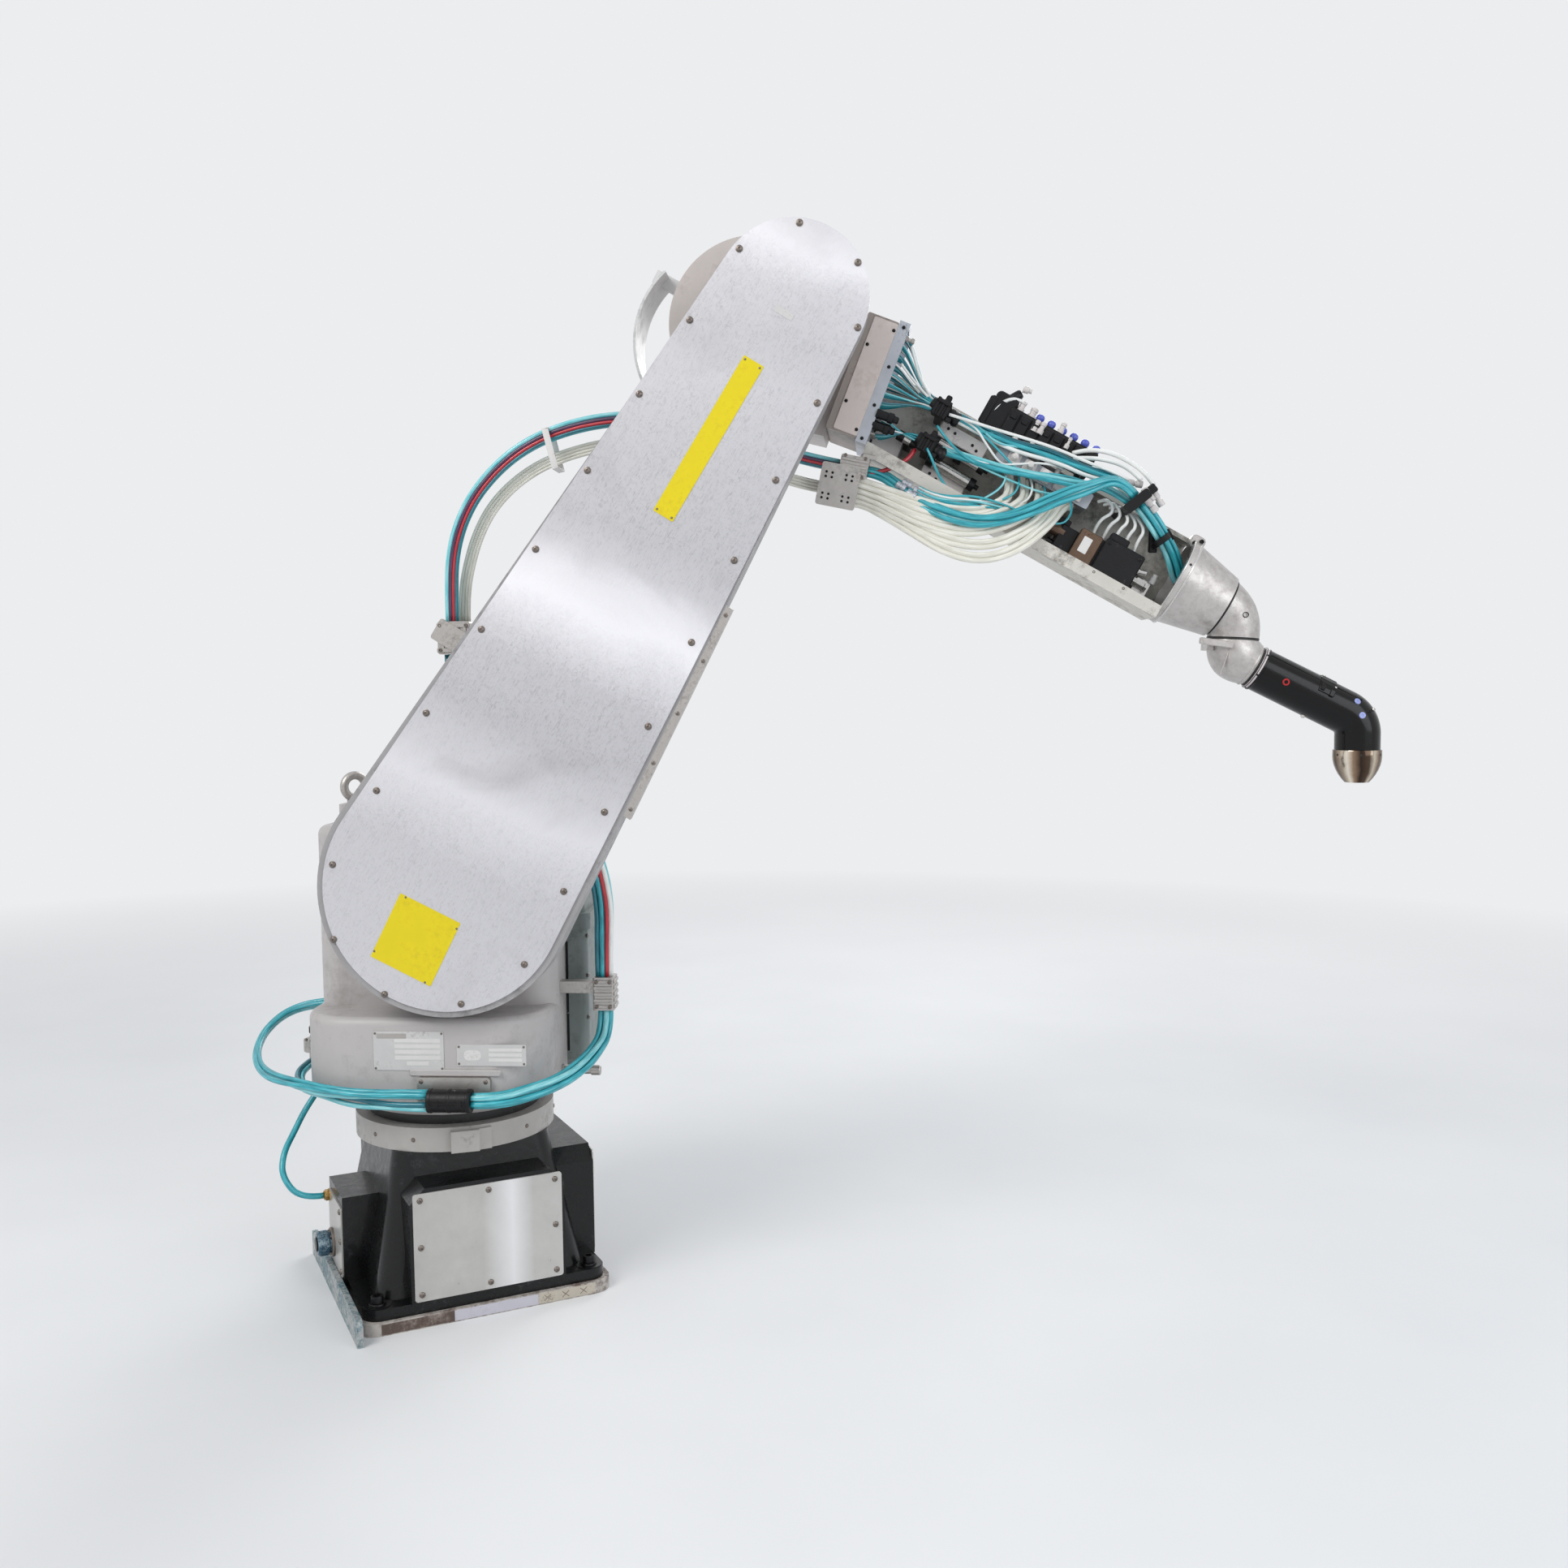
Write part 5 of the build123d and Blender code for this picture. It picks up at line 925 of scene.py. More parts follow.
# Push-in fittings, two rows of black plugs and the corner fitting, all on the bulkhead
build = bmesh.new()
outlets = [(40, -34 + 20 * row, depth) for row in range(8) for depth in (10, 32, 54, 76)]
low_outlets = [(54, -60 - 17 * row, depth) for row in range(3) for depth in (10, 30, 50, 70)]
for x, y, depth in outlets + low_outlets:
    seat = moved(box, x, y, depth) @ sideways
    turned(build, ((4.6, -0.5), (4.6, 4), (3.8, 5), (3.8, 8), (2.6, 9)), seat, 10, (int(y) // 20) % 2)
for y, depth in ((-58, 92), (-80, 88)):
    seat = moved(box, 52, y, depth) @ sideways
    turned(build, ((10, 0), (10, 6), (9, 7), (9, 24), (10.5, 25), (10.5, 34), (7, 37), (7, 44), (5, 46)),
           seat, 18, 0)
corner = moved(box, 53, 96, 84) @ sideways
turned(build, ((6, 0), (6, 5), (4, 6), (4, 12), (6, 13), (6, 18), (4, 19)), corner, 14, 1)
close("bulkhead_fittings", build, [black_plastic, bare_aluminium], "forearm")


def thin_tubes(name, runs, body, stands_for=()):
    """Several thin tubes as one piece; each run is (route in millimetres, radius, material)."""
    build = bmesh.new()
    uv = build.loops.layers.uv.new("run")
    materials = []
    for number, (route, radius, material) in enumerate(runs):
        if material not in materials:
            materials.append(material)
        line = route_line(name, [Vector(p) * mm for p in route])
        sweep_tube(build, uv, line, radius * mm, materials.index(material), 8, number)
    close(name, build, materials, body, stands_for, smooth=60)


# Small tubes: each leaves its own fitting square to the bulkhead and bends into its clamp
box_out = (box.to_3x3() @ Vector((1, 0, 0))).normalized()
fan = []
for number, (x, y, depth) in enumerate(outlets + low_outlets):
    high = number < len(outlets)
    start = (box @ Vector((x + 6, y, depth))) * 1000
    gather_s, gather_t = (315, -10) if high else (324, -83)
    place = number if high else number - len(outlets)
    across, up = (place % 4 - 1.5) * 5.8, (place // 4 - (3.5 if high else 1)) * (2.9 if high else 5.6)
    end = Vector(forearm_at(gather_s + 4, gather_t + up, -45 + across))
    ahead = end - Vector(forearm_at(gather_s - 34, gather_t + up * 1.1, -45 + across * 1.1))
    tint = (teal, pale_teal, milk, teal, deep_teal)[(number * 3) % 5]
    fan.append(((start, start + box_out * 12, (start + end * 3 - ahead * 2) / 4, end - ahead * 0.4, end),
                1.9, tint))
thin_tubes("small_tubes", fan, "forearm", ("fan_tubes",))

# Forearm
# A folded and welded channel in dirty off-white paint. Valves, cylinders, fittings and the hoses that
# feed the applicator are screwed to its web, in the order that the photograph shows them.
beam_paint = skin("beam_paint", (204, 200, 192), (108, 102, 94), rough=(0.4, 0.65), patches=9,
                  show=(0.24, 0.38), strength=0.75, depth=0.16, tone=0.08)
fitting_white = skin("fitting_white", (214, 208, 206), (158, 150, 148), patches=40, strength=0.6, tone=0.06)
knob_blue = skin("knob_blue", (82, 96, 196), (150, 160, 226), rough=(0.18, 0.36), patches=60, strength=0.6,
                 depth=0.03)
bronze = skin("bronze", (104, 84, 70), (62, 48, 40), metal=0.7, patches=40, tone=0.15)
silver = skin("silver", (196, 194, 192), (120, 116, 112), metal=0.95, rough=(0.16, 0.34), patches=50,
              depth=0.03)
dress(beam_paint, "forearm_beam")
dress(black_plastic, "manifold", "valve_block", "tube_clamps")
dress(flange_metal, "fitting_row")
dress(bare_aluminium, "forearm_hose_clamp", "clamp_plate")
dress(black_rubber, "hose_straps")


def at(s, t, y, turn=0.0):
    """A frame on the forearm, facing the front, given by its millimetres along, across and behind."""
    return moved(forearm, s, t, -y, turn)


def lying(s, t, y, turn=0.0):
    """The same, for round pieces: facing along the forearm, or turned away from it in degrees."""
    return at(s, t, y, turn) @ sideways


# Manifold: eight valve slices between end plates, blue knobs and pale fittings on top
build = bmesh.new()
for k in range(8):
    block(build, 23, 50, 6, at(493 + 25 * k - 30, 45, 15.2), 3, 1.4)
    block(build, 14, 12, 3, at(493 + 25 * k - 30, 58, 9.4), 3, 1)
for s in (412, 641):
    block(build, 13, 62, 66, at(s, 45.5, 78), 5, 1.6)
block(build, 50, 22, 40, at(436, 82, 60), 10, 3)
turned(build, ((9, 0), (10, 3), (10, 26), (8, 30)), lying(438, 84, 40, 58), 24)
close("manifold_valves", build, [black_plastic], "forearm")
top = Matrix.Rotation(-math.pi / 2, 4, "X")
build = bmesh.new()
for k in range(6):
    turned(build, ((5, -0.6), (5, 4), (7.4, 5.2), (8.8, 8.4), (9.1, 11.4), (8.4, 14.8), (6.4, 17.6),
                   (3, 19.2)), at(512 + 26 * k, 74.5, 45) @ top, 22)
close("blue_knobs", build, [knob_blue], "forearm", ("manifold_knobs",))
build = bmesh.new()
for s, y, size in ((494, 40, 9), (512, 12, 7), (524, 6, 7), (560, 24, 7), (585, 4, 5), (468, 30, 8)):
    turned(build, ((size, -2), (size, 7), (size - 2, 8), (size - 2, 15), (size - 1, 16), (size - 1, 21),
                   (size - 3, 23)), at(s, 74.5 if y > 14 else 52, y) @ top, 14)
turned(build, ((7, 0), (7, 12), (5, 13), (5, 19)), lying(452, 116, 26, 12), 14)
close("manifold_fittings", build, [fitting_white], "forearm")

# Fitting row: a pale socket for each cream hose, and push-in fittings of three kinds along the front
build = bmesh.new()
for s in (505, 540, 575, 612, 648):
    turned(build, ((12, 0), (12, 8), (9.6, 10), (9.6, 17), (8, 18)),
           at(s, -41, -14) @ Matrix.Rotation(math.pi / 2, 4, "X"), 6, 1)
    block(build, 26, 26, 10, at(s, -23, -30), 3, 1.2, 0)
    turned(build, ((8, 9), (8, 15), (6, 16), (6, 22), (4.5, 23)), at(s, -19, -30), 16, 0)
for s, height in ((488, -2), (522, 2), (557, 0), (594, 3), (631, 1), (664, -1)):
    turned(build, ((5.5, -20), (5.5, 6), (7, 7), (7, 17), (4.5, 18), (4.5, 24)), at(s, height, -22) @ top,
           12, 2 if s % 2 else 0)
close("row_fittings", build, [fitting_white, silver, black_plastic], "forearm")

# Between the clamps: a pale drilled bracket, two air cylinders and their black end caps
build = bmesh.new()
block(build, 104, 30, 92, at(398, -38, 71), 4, 1.5, 0)
block(build, 60, 44, 84, at(268, -118, 71, 8), 4, 1.5, 0)
block(build, 96, 52, 70, at(402, -132, 71, 3), 6, 2, 0)
for s, t, y, length, radius in ((352, -64, -14, 108, 10.5), (362, -101, -6, 96, 12), (288, -92, -34, 30, 9)):
    turned(build, ((radius, 0), (radius, length), (radius - 2, length + 1)), lying(s, t, y, -2), 20, 1)
    turned(build, ((radius + 2, -8), (radius + 2, 6), (radius + 1, 7)), lying(s, t, y, -2), 20, 2)
    turned(build, ((radius + 1.4, length - 8), (radius + 1.4, length + 5), (5, length + 6),
                   (5, length + 14)), lying(s, t, y, -2), 20, 2)
    block(build, 16, 16, 71 - y, at(s + length / 2, t, 71), 2, 0.6, 2)
for s, t in ((362, -32), (378, -34), (420, -38), (432, -44), (372, -124), (388, -128), (430, -138)):
    turned(build, ((3.2, -0.6), (3.2, 0.7), (2.8, 0.9)), at(s, t, -21 if t > -60 else 1), 12, 2)
close("cylinders_and_brackets", build, [fitting_white, silver, black_plastic], "forearm")

# Two gathering clamps: ribbed black shells with a screwed lid
build = bmesh.new()
for s, t in ((332, -10), (341, -83)):
    for k in range(3):
        block(build, 7, 36, 4, at(s - 12 + 12 * k, t, -61.6), 2, 1)
    block(build, 30, 8, 7, at(s, t + 12, -61.6), 3, 1)
    block(build, 12, 14, 12, at(s + 4, t + 22, -50), 4, 1.4)
    turned(build, ((13.4, -24), (14.4, -21), (14.4, 19), (15.6, 21), (15.6, 25), (14, 27), (14, 31),
                   (15.2, 33), (15.2, 38), (12.6, 43)), lying(s, t, -45, -6), 22)
    block(build, 12, 9, 16, at(s + 22, t - 15, -50), 3, 1.2)
close("clamp_shells", build, [black_plastic], "forearm")

# Solenoid valve: bronze coil with a blank label, the black valve body and the fittings beyond it
build = bmesh.new()
block(build, 46, 66, 30, at(713, -112, -46), 3, 1.6, 0)
block(build, 18, 32, 0.8, at(710, -108, -76), 1.5, 0.3, 1)
block(build, 36, 50, 86, at(672, -114, 30), 3, 1.4, 3)
turned(build, ((13, 0), (13, 42), (11, 44)), lying(622, -104, -44), 22, 0)
turned(build, ((10, -10), (10, 2)), lying(622, -104, -44), 6, 2)
turned(build, ((6, -24), (6, -8)), lying(622, -104, -44), 14, 2)
turned(build, ((8, 0), (8, 34)), lying(640, -132, -40), 14, 3)
block(build, 18, 22, 116, at(640, -104, 71), 2, 0.8, 3)
block(build, 58, 12, 60, at(640, -80, 30), 3, 1.2, 3)
block(build, 84, 82, 26, at(784, -113, -52), 5, 2.4, 3)
block(build, 40, 18, 22, at(766, -66, -40), 4, 1.6, 3)
block(build, 34, 40, 60, at(852, -122, 40), 5, 2, 2)
turned(build, ((10, 0), (10, 12), (7, 13), (7, 30), (10, 31), (10, 36)), lying(825, -118, -30), 6, 2)
turned(build, ((8, 0), (8, 10), (6, 11), (6, 24)), lying(825, -96, -20, 14), 16, 2)
turned(build, ((7, 0), (7, 12), (5, 13), (5, 20)), at(866, -104, -22) @ top, 14, 1)
close("solenoid_valve", build, [bronze, blank_white, silver, black_plastic], "forearm")
valve_face = at(784, -113, -78)
set_screws("valve_screws", "forearm", from_frame(valve_face, grid((-33, 33), (-32, 32))), 8, button_head,
           black_steel)

# Clamp under the beam: ribbed halves, screws, and the front plate with its paired holes
under = moved(forearm, 239.25, -196.34, 0, 18)
build = bmesh.new()
for row in (-12, 0, 12):
    block(build, 54, 6, 2.4, moved(under, 0, row, 95.8), 1.5, 0.8, 0)
# The plate's paired holes are dark discs: painted shade in the holes
for x in (-50, -38, -10, 2):
    for y in (-20, -62):
        for step in (0, 9):
            turned(build, ((2.6, -0.4), (2.6, 0.5), (2.2, 0.7)), moved(under, x, y - step, 101), 10, 1)
block(build, 26, 9, 12, moved(under, 26, 24, 84), 2, 0.8, 0)
close("forearm_clamp_ribs", build, [bare_aluminium, black_rubber], "forearm")
set_screws("forearm_clamp_screws", "forearm", from_frame(under, [
    (-20, 19, 96), (20, 19, 96), (-20, -19, 96), (20, -19, 96)]), 6.5, cap_head)

# Straps: a black tie with its loose end at each place where the teal bundle is held, and pale unions
build = bmesh.new()
strap = at(757, 18, 0, -22)
turned(build, ((21, -8), (23, -6), (23, 6), (21, 8)), moved(strap, 0, 3, 60) @ sideways, 26, 0)
block(build, 18, 26, 12, moved(strap, 0, 34, 44), 4, 1.4, 0)
wrist_tie = on((1463, -43, 1521), (0, 1, 0), (0.55, 0.42, -0.78))
turned(build, ((21, -7), (23.5, -6), (23.5, 6), (21, 7)), wrist_tie, 26, 0)
block(build, 12, 8, 26, moved(wrist_tie, -4, 22, -13), 2, 0.8, 0)
block(build, 16, 16, 46, on((1450, -20, 1500), (1, 0, 0), (0, -0.2, 1)), 3, 1, 0)
close("hose_ties", build, [black_rubber], "forearm")
build = bmesh.new()
for s, t, y, turn in ((770, 40, -52, -24), (784, 22, -66, -20), (792, 44, -40, -28), (738, 52, -22, 20)):
    turned(build, ((6, -16), (7.5, -15), (7.5, -3), (5.5, -2), (5.5, 2), (7.5, 3), (7.5, 15), (6, 16)),
           lying(s, t, y, turn), 16, 0)
for place, ahead in (((950, -78, 1633), (0.79, -0.3, -0.55)), ((970, -86, 1616), (0.8, -0.35, -0.5)),
                     ((962, -72, 1638), (0.86, -0.2, -0.5)), ((984, -80, 1622), (0.88, -0.22, -0.42))):
    turned(build, ((5.4, -11), (7.4, -10), (7.4, -3), (6, -2), (6, 2), (7.4, 3), (7.4, 10), (5.4, 11)),
           on(place, (0, 1, 0), ahead), 14, 1)
close("hose_unions", build, [fitting_white, flange_metal], "forearm")

# Small loose hoses in front of the web: their tubing, its radius, their width, how they lie, and their route
loose_hoses = (
    ("red_hose", red, 4.4, 9, "loose", (
        (888, -62, 1660), (918, -64, 1665), (946, -64, 1677), (970, -60, 1692), (978, -50, 1708))),
    ("white_lead_1", milk, 3.0, 6, "loose", (
        (972, -70, 1905), (979, -66, 1881), (987, -60, 1850), (1003, -54, 1822), (1016, -48, 1804))),
    ("white_lead_2", milk, 2.6, 5.2, "loose", (
        (952, -72, 1872), (964, -66, 1856), (979, -60, 1838), (995, -54, 1820), (1012, -48, 1803))),
    ("thin_teal_down", teal, 2.8, 5.6, "loose", (
        (1002, -62, 1708), (1010, -68, 1690), (1020, -70, 1664), (1036, -72, 1634), (1058, -74, 1608),
        (1082, -70, 1594), (1108, -60, 1600))),
    ("thin_teal_over", teal, 2.8, 5.6, "loose", (
        (1022, -60, 1752), (1039, -62, 1727), (1062, -62, 1702), (1094, -60, 1678), (1124, -52, 1664),
        (1152, -40, 1660))),
    ("pale_top_tube", milk, 3.2, 6.4, "hanging", (
        (1046, -62, 1773), (1085, -62, 1760), (1140, -62, 1741), (1200, -62, 1722), (1262, -62, 1700),
        (1318, -60, 1674), (1372, -50, 1655), (1400, -44, 1640))),
    ("pale_arc_1", milk, 4.6, 9.2, "hanging", (
        (1293, -10, 1700), (1321, -16, 1706), (1361, -22, 1700), (1401, -30, 1680), (1433, -36, 1655),
        (1449, -40, 1630))),
    ("pale_arc_2", milk, 4.6, 9.2, "hanging", (
        (1293, -24, 1688), (1333, -28, 1688), (1374, -32, 1678), (1404, -38, 1662), (1424, -42, 1640))),
    ("manifold_tube", milk, 3.8, 7.6, "hanging", (
        (1124, 24, 1756), (1130, 20, 1778), (1146, 18, 1800), (1166, 20, 1813), (1186, 24, 1816),
        (1206, 28, 1806))))
for name, finish, radius, width, lay, route in loose_hoses:
    hose(name, route, [(0, 0, radius, finish)], width, (), ("forearm",), lay=lay)

crossing = []
for k in range(7):
    low = k % 2
    begin_at = Vector(forearm_at(356, (-10 if k < 4 else -83) + (k % 3) * 4 - 4, -46 - 3 * low))
    finish_at = Vector(forearm_at(488 + 29 * k, 6 - 28 * low, -34))
    middle = (begin_at + finish_at) / 2 + Vector((0, -18, -10 - 6 * (k % 3)))
    crossing.append(((begin_at, begin_at + Vector((44, -6, -20)), middle,
                      finish_at + Vector((-30, -12, 16 if not low else -18)), finish_at), 2.4,
                     (teal, milk, pale_teal)[k % 3]))
for k in range(5):
    high = Vector(forearm_at(694 + 13 * k, -14, -22))
    low = Vector(forearm_at(716 + 22 * k, -76, -40))
    crossing.append(((high, high + Vector((18, -14, 6)), (high + low) / 2 + Vector((34, -22, 8)),
                      low + Vector((8, -8, 26)), low), 3.4, milk))
for k in range(6):
    high = Vector(forearm_at(494 + 30 * k, -42, -36))
    union = Vector((980, -84, 1618)) + Vector((3, -2, 6)) * (k % 3)
    crossing.append(((union, union + Vector((34, -10, -22)), union + Vector((86 + 8 * k, -12, -34 + 3 * k)),
                      high + Vector((-14 - 3 * k, -34, -58)), high + Vector((6, -20, -24)), high), 2.3,
                     (pale_teal, teal, milk, teal)[k % 4]))
thin_tubes("crossing_tubes", crossing, "forearm")

# Wrist
# Two short hollow castings that roll on slanted seams, and the mounting housing that the hoses run
# through. Bare aluminium castings with machined rims, dark where the paint mist has settled.
cast_silver = skin("cast_silver", (192, 188, 185), (124, 117, 113), metal=0.5, rough=(0.28, 0.46), patches=9,
                   show=(0.22, 0.44), strength=0.55, depth=0.18, tone=0.1, grain=(320, 320, 320))
machined = skin("machined", (206, 204, 202), (150, 146, 144), metal=0.8, rough=(0.18, 0.32), patches=30,
                depth=0.03)
seam_black = skin("seam_black", (16, 16, 16), (52, 50, 50), rough=(0.4, 0.6), patches=60, tone=0.2)
ring_white = skin("ring_white", (206, 196, 198), (150, 140, 142), patches=40, tone=0.05)
dress(cast_silver, "wrist_housing", "wrist_elbow_1", "wrist_elbow_2")
dress(ring_white, "tool_ring")


def collar(build, place, outer, inner, low, high, sides=44, index=0, edge=0.8):
    """A flat ring with broken outer edges, open in the middle."""
    profile = ((inner, low), (outer - edge, low), (outer, low + edge), (outer, high - edge),
               (outer - edge, high), (inner, high))
    rings = hoops(build, place, profile, sides)
    bridge(build, rings + rings[:1], index, capped=False)


mouth = lying(0, -73.5, 0)
build = bmesh.new()
collar(build, mouth, 91, 75, 898.6, 902, index=0)
collar(build, mouth, 91.2, 84, 911, 915.6, index=0)
for turn in range(0, 360, 45):
    a = math.radians(turn + 12)
    turned(build, ((3, 897.9), (3, 898.8), (2.6, 898.8)),
           moved(mouth, 82.5 * math.cos(a), 82.5 * math.sin(a)), 12, 1)
# Three holes in the rim's side are dark discs: painted shade in the holes
for turn in (70, 160, 340):
    hole = mouth @ Matrix.Rotation(math.radians(turn), 4, "Z") @ Matrix.Translation((89.4, 0, 907)) @ sideways
    turned(build, ((2.8, 0), (2.8, 1.2), (2.4, 1.3)), hole, 12, 1)
block(build, 30, 26, 34, at(905, 12, 10), 9, 3, 2)
close("wrist_flange_rim", build, [machined, seam_black, cast_silver], "forearm")
set_screws("flange_screws", "forearm", from_frame(at(905, 12, -24), [(-5, -5, 0), (6, 4, 0)]), 9, cap_head,
           black_steel)

build = bmesh.new()
collar(build, mouth, 60.5, 50, 1013.2, 1017.6)
close("seam_band_1", build, [seam_black], "wrist_1")
build = bmesh.new()
roll_mark = on((1627, -53.5, 1373), (1, 0, 0), (0.25, -0.95, 0.12))
collar(build, roll_mark, 6, 4.8, -2, 0.6, 26, 0, 0.2)
close("casting_mark", build, [seam_black], "wrist_1")

second_seam = moved(forearm, 1065.2, -113.8, 0, -63.3) @ sideways
build = bmesh.new()
collar(build, second_seam, 51.2, 40, 0.3, 4.6)
close("seam_band_2", build, [seam_black], "wrist_2")
last_seam = lying(0, -144, 0)
build = bmesh.new()
collar(build, last_seam, 42.6, 32, 1127.3, 1131.6, index=0)
collar(build, last_seam, 45.6, 40, 1120, 1124, index=1)
close("seam_band_3", build, [seam_black, cast_silver], "wrist_2")
build = bmesh.new()
collar(build, last_seam, 45.8, 40, 1133, 1134.4, index=0, edge=0.3)
for k in range(6):
    a = math.radians(20 + 60 * k)
    turned(build, ((2.2, 0), (2.2, 1.2), (1.8, 1.3)),
           last_seam @ Matrix.Rotation(a, 4, "Z") @ Matrix.Translation((44.6, 0, 1136.6)) @ sideways, 10, 0)
close("tool_ring_line", build, [seam_black], "applicator")

# Flat lug on the second casting's front, where its two halves are bolted together
build = bmesh.new()
block(build, 66, 13, 14, at(1033, -145, -44, 21), 3, 1.5)
block(build, 2.5, 62, 6, at(1066, -165, -44, 12), 1, 0.8)
close("casting_lug", build, [cast_silver], "wrist_2")

# Applicator
# The spray bell's body: a glossy black moulded tube with a bend, held by a spring clip, with coloured
# plugs over its ports, and a polished nickel shroud round the bell at its mouth.
gloss_black = skin("gloss_black", (7, 7, 8), (34, 32, 32), rough=(0.16, 0.28), patches=12, show=(0.34, 0.44),
                   strength=0.4, depth=0.04, tone=0.3, Coat_Weight=0.2, Coat_Roughness=0.08,
                   Specular_IOR_Level=0.18)
nickel, tree, shader = begin("nickel", Metallic=0.85)
where = add(tree, "ShaderNodeTexCoord").outputs["Object"]
middle = add(tree, "ShaderNodeMapping", {"Vector": where, "Location": (-1.8625, 0, 0)})
round_way = add(tree, "ShaderNodeTexGradient", {"Vector": middle.outputs[0]}, gradient_type="RADIAL")
ripple = noise(tree, where, 26.0, 4.0)
waved = maths(tree, "MULTIPLY_ADD", ripple, 0.05, round_way.outputs["Fac"])
# Painted reflections: light and dark streaks round the shroud's axis, over a warm metal tone, stand for the
# studio mirrored in the polished shroud
painted_reflection_tones = ((0.0, (120, 104, 92)), (0.05, (70, 56, 48)), (0.11, (176, 160, 142)), (0.16, (232, 222, 206)),
         (0.20, (150, 126, 104)), (0.25, (52, 40, 34)), (0.31, (84, 68, 56)), (0.35, (206, 194, 176)),
         (0.40, (112, 92, 76)), (0.47, (56, 44, 38)), (0.52, (190, 174, 156)), (0.60, (96, 80, 68)),
         (0.72, (214, 202, 184)), (0.84, (84, 68, 58)), (1.0, (126, 108, 94)))
surface(tree, shader, streaks(tree, waved, painted_reflection_tones), spread(tree, ripple, To_Min=0.08, To_Max=0.2))
plug_blue = skin("plug_blue", (150, 162, 216), (196, 204, 236), rough=(0.2, 0.36), patches=80, tone=0.06)
dress(gloss_black, "applicator_body")

drop = math.radians(27.1)
tube = on((1662.5, 0, 1266.95), (math.cos(drop), 0, -math.sin(drop)), (0, -1, 0))


def on_tube(way, off, lift=0.0):
    """A frame standing square on the tube's skin, by its millimetres along it and off its middle."""
    lean_angle = math.asin(max(-1, min(1, off / 44)))
    return moved(tube, way, 0) @ Matrix.Rotation(-lean_angle, 4, "X") @ Matrix.Translation((0, 0, 44 + lift))


build = bmesh.new()
collar(build, on_tube(54, -3), 7, 4, -2, 0.6, 28, 0, 0.3)
close("red_mark", build, [mark_red], "applicator")
build = bmesh.new()
for way, off in ((198, 26), (217, 5)):
    turned(build, ((6.5, -2), (6.5, 0.8), (5.6, 1.8), (2.2, 1.8), (2, 0.9)), on_tube(way, off), 22, 0)
turned(build, ((4.6, -3), (4.6, 2), (3.4, 4.4), (1.5, 5.2)), on_tube(124, -43.5), 16, 1)
turned(build, ((3.6, -3), (3.6, 2.5), (2.2, 4)), on_tube(233, 25), 14, 2)
close("port_plugs", build, [plug_blue, fitting_white, silver], "applicator")
build = bmesh.new()
for off in (16, 24, 32, 39, 43):
    block(build, 34, 11, 2.6, on_tube(134, off, -0.6), 2, 0.9, 0)
block(build, 9, 14, 4.6, on_tube(124, 20, -0.4), 2, 1, 0)
block(build, 9, 14, 4.6, on_tube(145, 16, -0.4), 2, 1, 0)
block(build, 122, 3.4, 1.2, on_tube(62, 33, -0.3), 1, 0.4, 0)
block(build, 60, 3.4, 1.2, on_tube(178, 34, -0.3), 1, 0.4, 0)
close("spring_clip", build, [gloss_black], "applicator")
build = bmesh.new()
turned(build, ((3, -1), (3, 1.4), (2, 2)), on_tube(126, 44, 2), 12, 0)
turned(build, ((2.4, -1), (2.4, 1.2), (1.6, 1.6)), on_tube(148, 30, 2), 12, 0)
collar(build, lying(0, -144, 0), 46, 40, 1138.2, 1143, 44, 1)
close("clip_pins", build, [silver, gloss_black], "applicator")

# Shroud: spun in one piece, with a ring of air holes at its lip and the bell's edge standing inside
build = bmesh.new()
nozzle = on((1862.5, 0, 1103), (1, 0, 0), (0, 0, -1))
outside = ((44, 0), (46.6, 0.8), (47, 2), (47.2, 14), (46.6, 22), (44.6, 31), (41, 40.5), (36, 50),
           (30, 58.5), (25.4, 64), (23.4, 66))
inside = ((21.4, 66), (22.4, 62), (22.4, 50), (8, 49), (8, 46), (16.4, 46), (16.4, 62), (14, 63.4), (8, 62),
          (8, 58), (0.2, 57))
turned(build, outside + inside, nozzle, 56)
close("polished_shroud", build, [nickel], "applicator", ("applicator_cup",), smooth=30)
build = bmesh.new()
for turn in range(0, 360, 60):
    a = math.radians(turn - 82)
    turned(build, ((2.4, -0.5), (2.4, 0.4), (2, 0.5)),
           nozzle @ Matrix.Rotation(a, 4, "Z") @ Matrix.Translation((47, 0, 10)) @ sideways, 12, 0)
close("shroud_screws", build, [seam_black], "applicator")

# Floor and light
# A plain pale studio floor under soft lamps. Far out it is as pale as the background, which is plain
# for the camera and for mirrors, while the light that reaches the machine stays soft and even.
pale_floor, tree, shader = begin("pale_floor", Roughness=0.85)
where = add(tree, "ShaderNodeTexCoord").outputs["Object"]
cloud = ramp(tree, noise(tree, where, 1.2, 4.0), 0.3, 0.7, shade(226, 227, 229), shade(232, 233, 234))
tree.links.new(cloud, shader.inputs["Base Color"])
far = spread(tree, add(tree, "ShaderNodeVectorMath", {0: where}, operation="LENGTH").outputs["Value"],
             From_Min=2.4, From_Max=6.5)
rays = add(tree, "ShaderNodeLightPath").outputs
plain_out = maths(tree, "MULTIPLY", maths(tree, "MAXIMUM", rays["Is Camera Ray"], rays["Is Glossy Ray"]), far)
pale = add(tree, "ShaderNodeEmission", {"Color": shade(236, 237, 239), "Strength": 1.0})
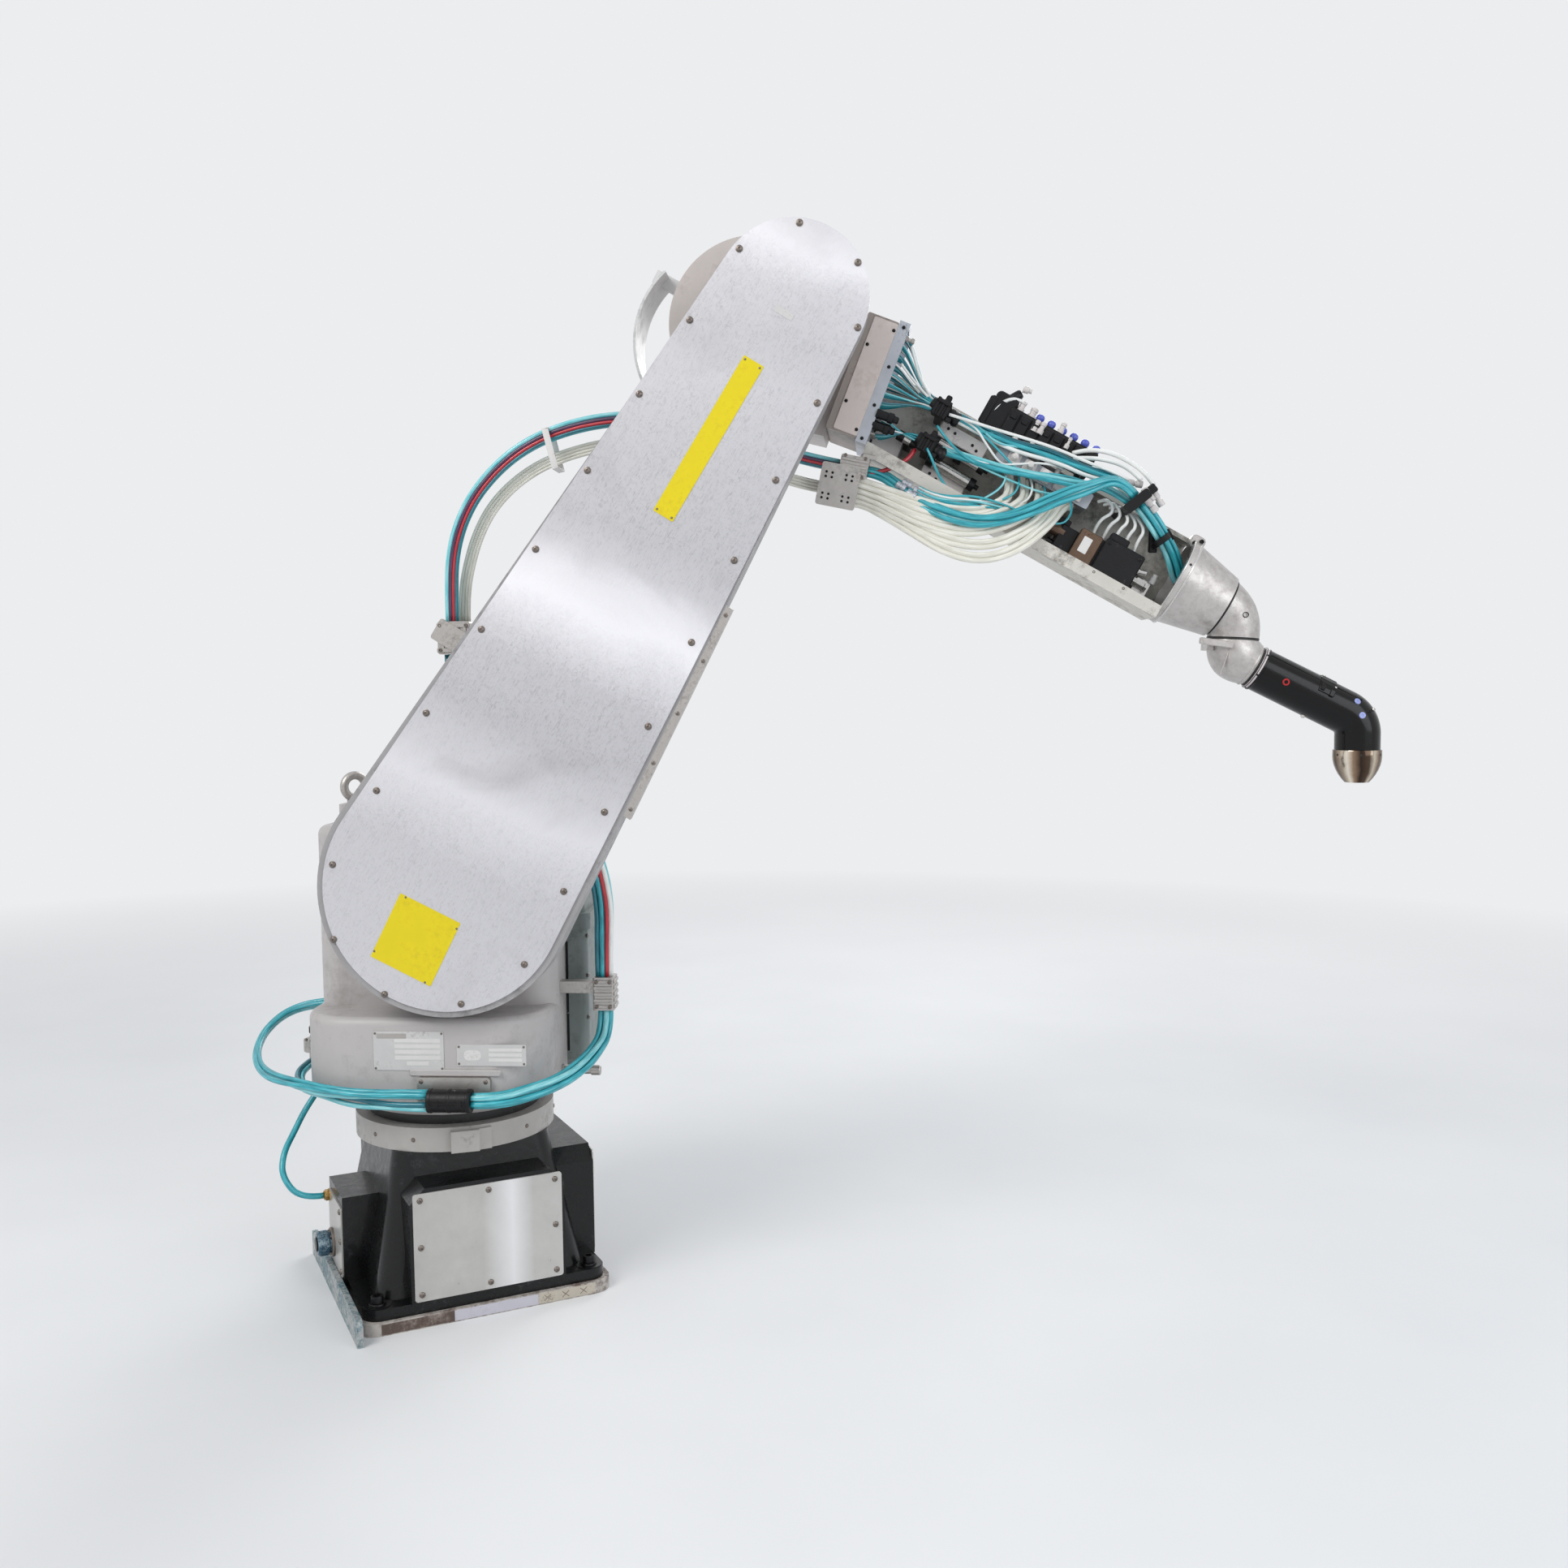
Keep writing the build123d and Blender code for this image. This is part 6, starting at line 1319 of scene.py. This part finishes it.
both = add(tree, "ShaderNodeMixShader", {0: plain_out, 1: shader.outputs[0], 2: pale.outputs[0]})
tree.links.new(both.outputs[0], tree.nodes["Material Output"].inputs[0])
build = bmesh.new()
bmesh.ops.create_circle(build, cap_ends=True, radius=14, segments=96)
mesh = bpy.data.meshes.new("floor")
build.to_mesh(mesh)
build.free()
mesh.materials.append(pale_floor)
floor = bpy.data.objects.new("floor", mesh)
bpy.context.scene.collection.objects.link(floor)

world = bpy.data.worlds.new("studio")
bpy.context.scene.world = world
world.use_nodes = True
tree = world.node_tree
tree.nodes.clear()
rays = add(tree, "ShaderNodeLightPath").outputs
seen = maths(tree, "MAXIMUM", maths(tree, "MAXIMUM", rays["Is Camera Ray"], rays["Is Glossy Ray"]),
             rays["Is Transmission Ray"])
soft = add(tree, "ShaderNodeBackground", {"Color": (0.93, 0.96, 1.0, 1), "Strength": 0.55})
plain = add(tree, "ShaderNodeBackground", {"Color": shade(236, 237, 239), "Strength": 1.0})
either = add(tree, "ShaderNodeMixShader", {0: seen, 1: soft.outputs[0], 2: plain.outputs[0]})
add(tree, "ShaderNodeOutputWorld", {"Surface": either.outputs[0]})


def lamp(name, place, target, size, power, colour=(1, 1, 1)):
    """A soft square lamp pointing at a target."""
    light = bpy.data.lights.new(name, "AREA")
    light.shape = "SQUARE"
    light.size = size
    light.energy = power
    light.color = colour
    holder = bpy.data.objects.new(name, light)
    aim = (Vector(target) - Vector(place)).to_track_quat("-Z", "Y")
    holder.matrix_world = Matrix.Translation(place) @ aim.to_matrix().to_4x4()
    bpy.context.scene.collection.objects.link(holder)


lamp("key_lamp", (-2.2, -3.6, 4.6), (0.5, 0, 1.1), 2.6, 150, (1.0, 0.98, 0.95))
lamp("fill_lamp", (4.4, -3.2, 2.6), (0.9, 0, 1.2), 3.0, 70, (0.94, 0.97, 1.0))
lamp("back_lamp", (1.4, 4.2, 3.8), (0.6, 0, 1.3), 2.8, 90)
bpy.context.scene.view_settings.view_transform = "Standard"
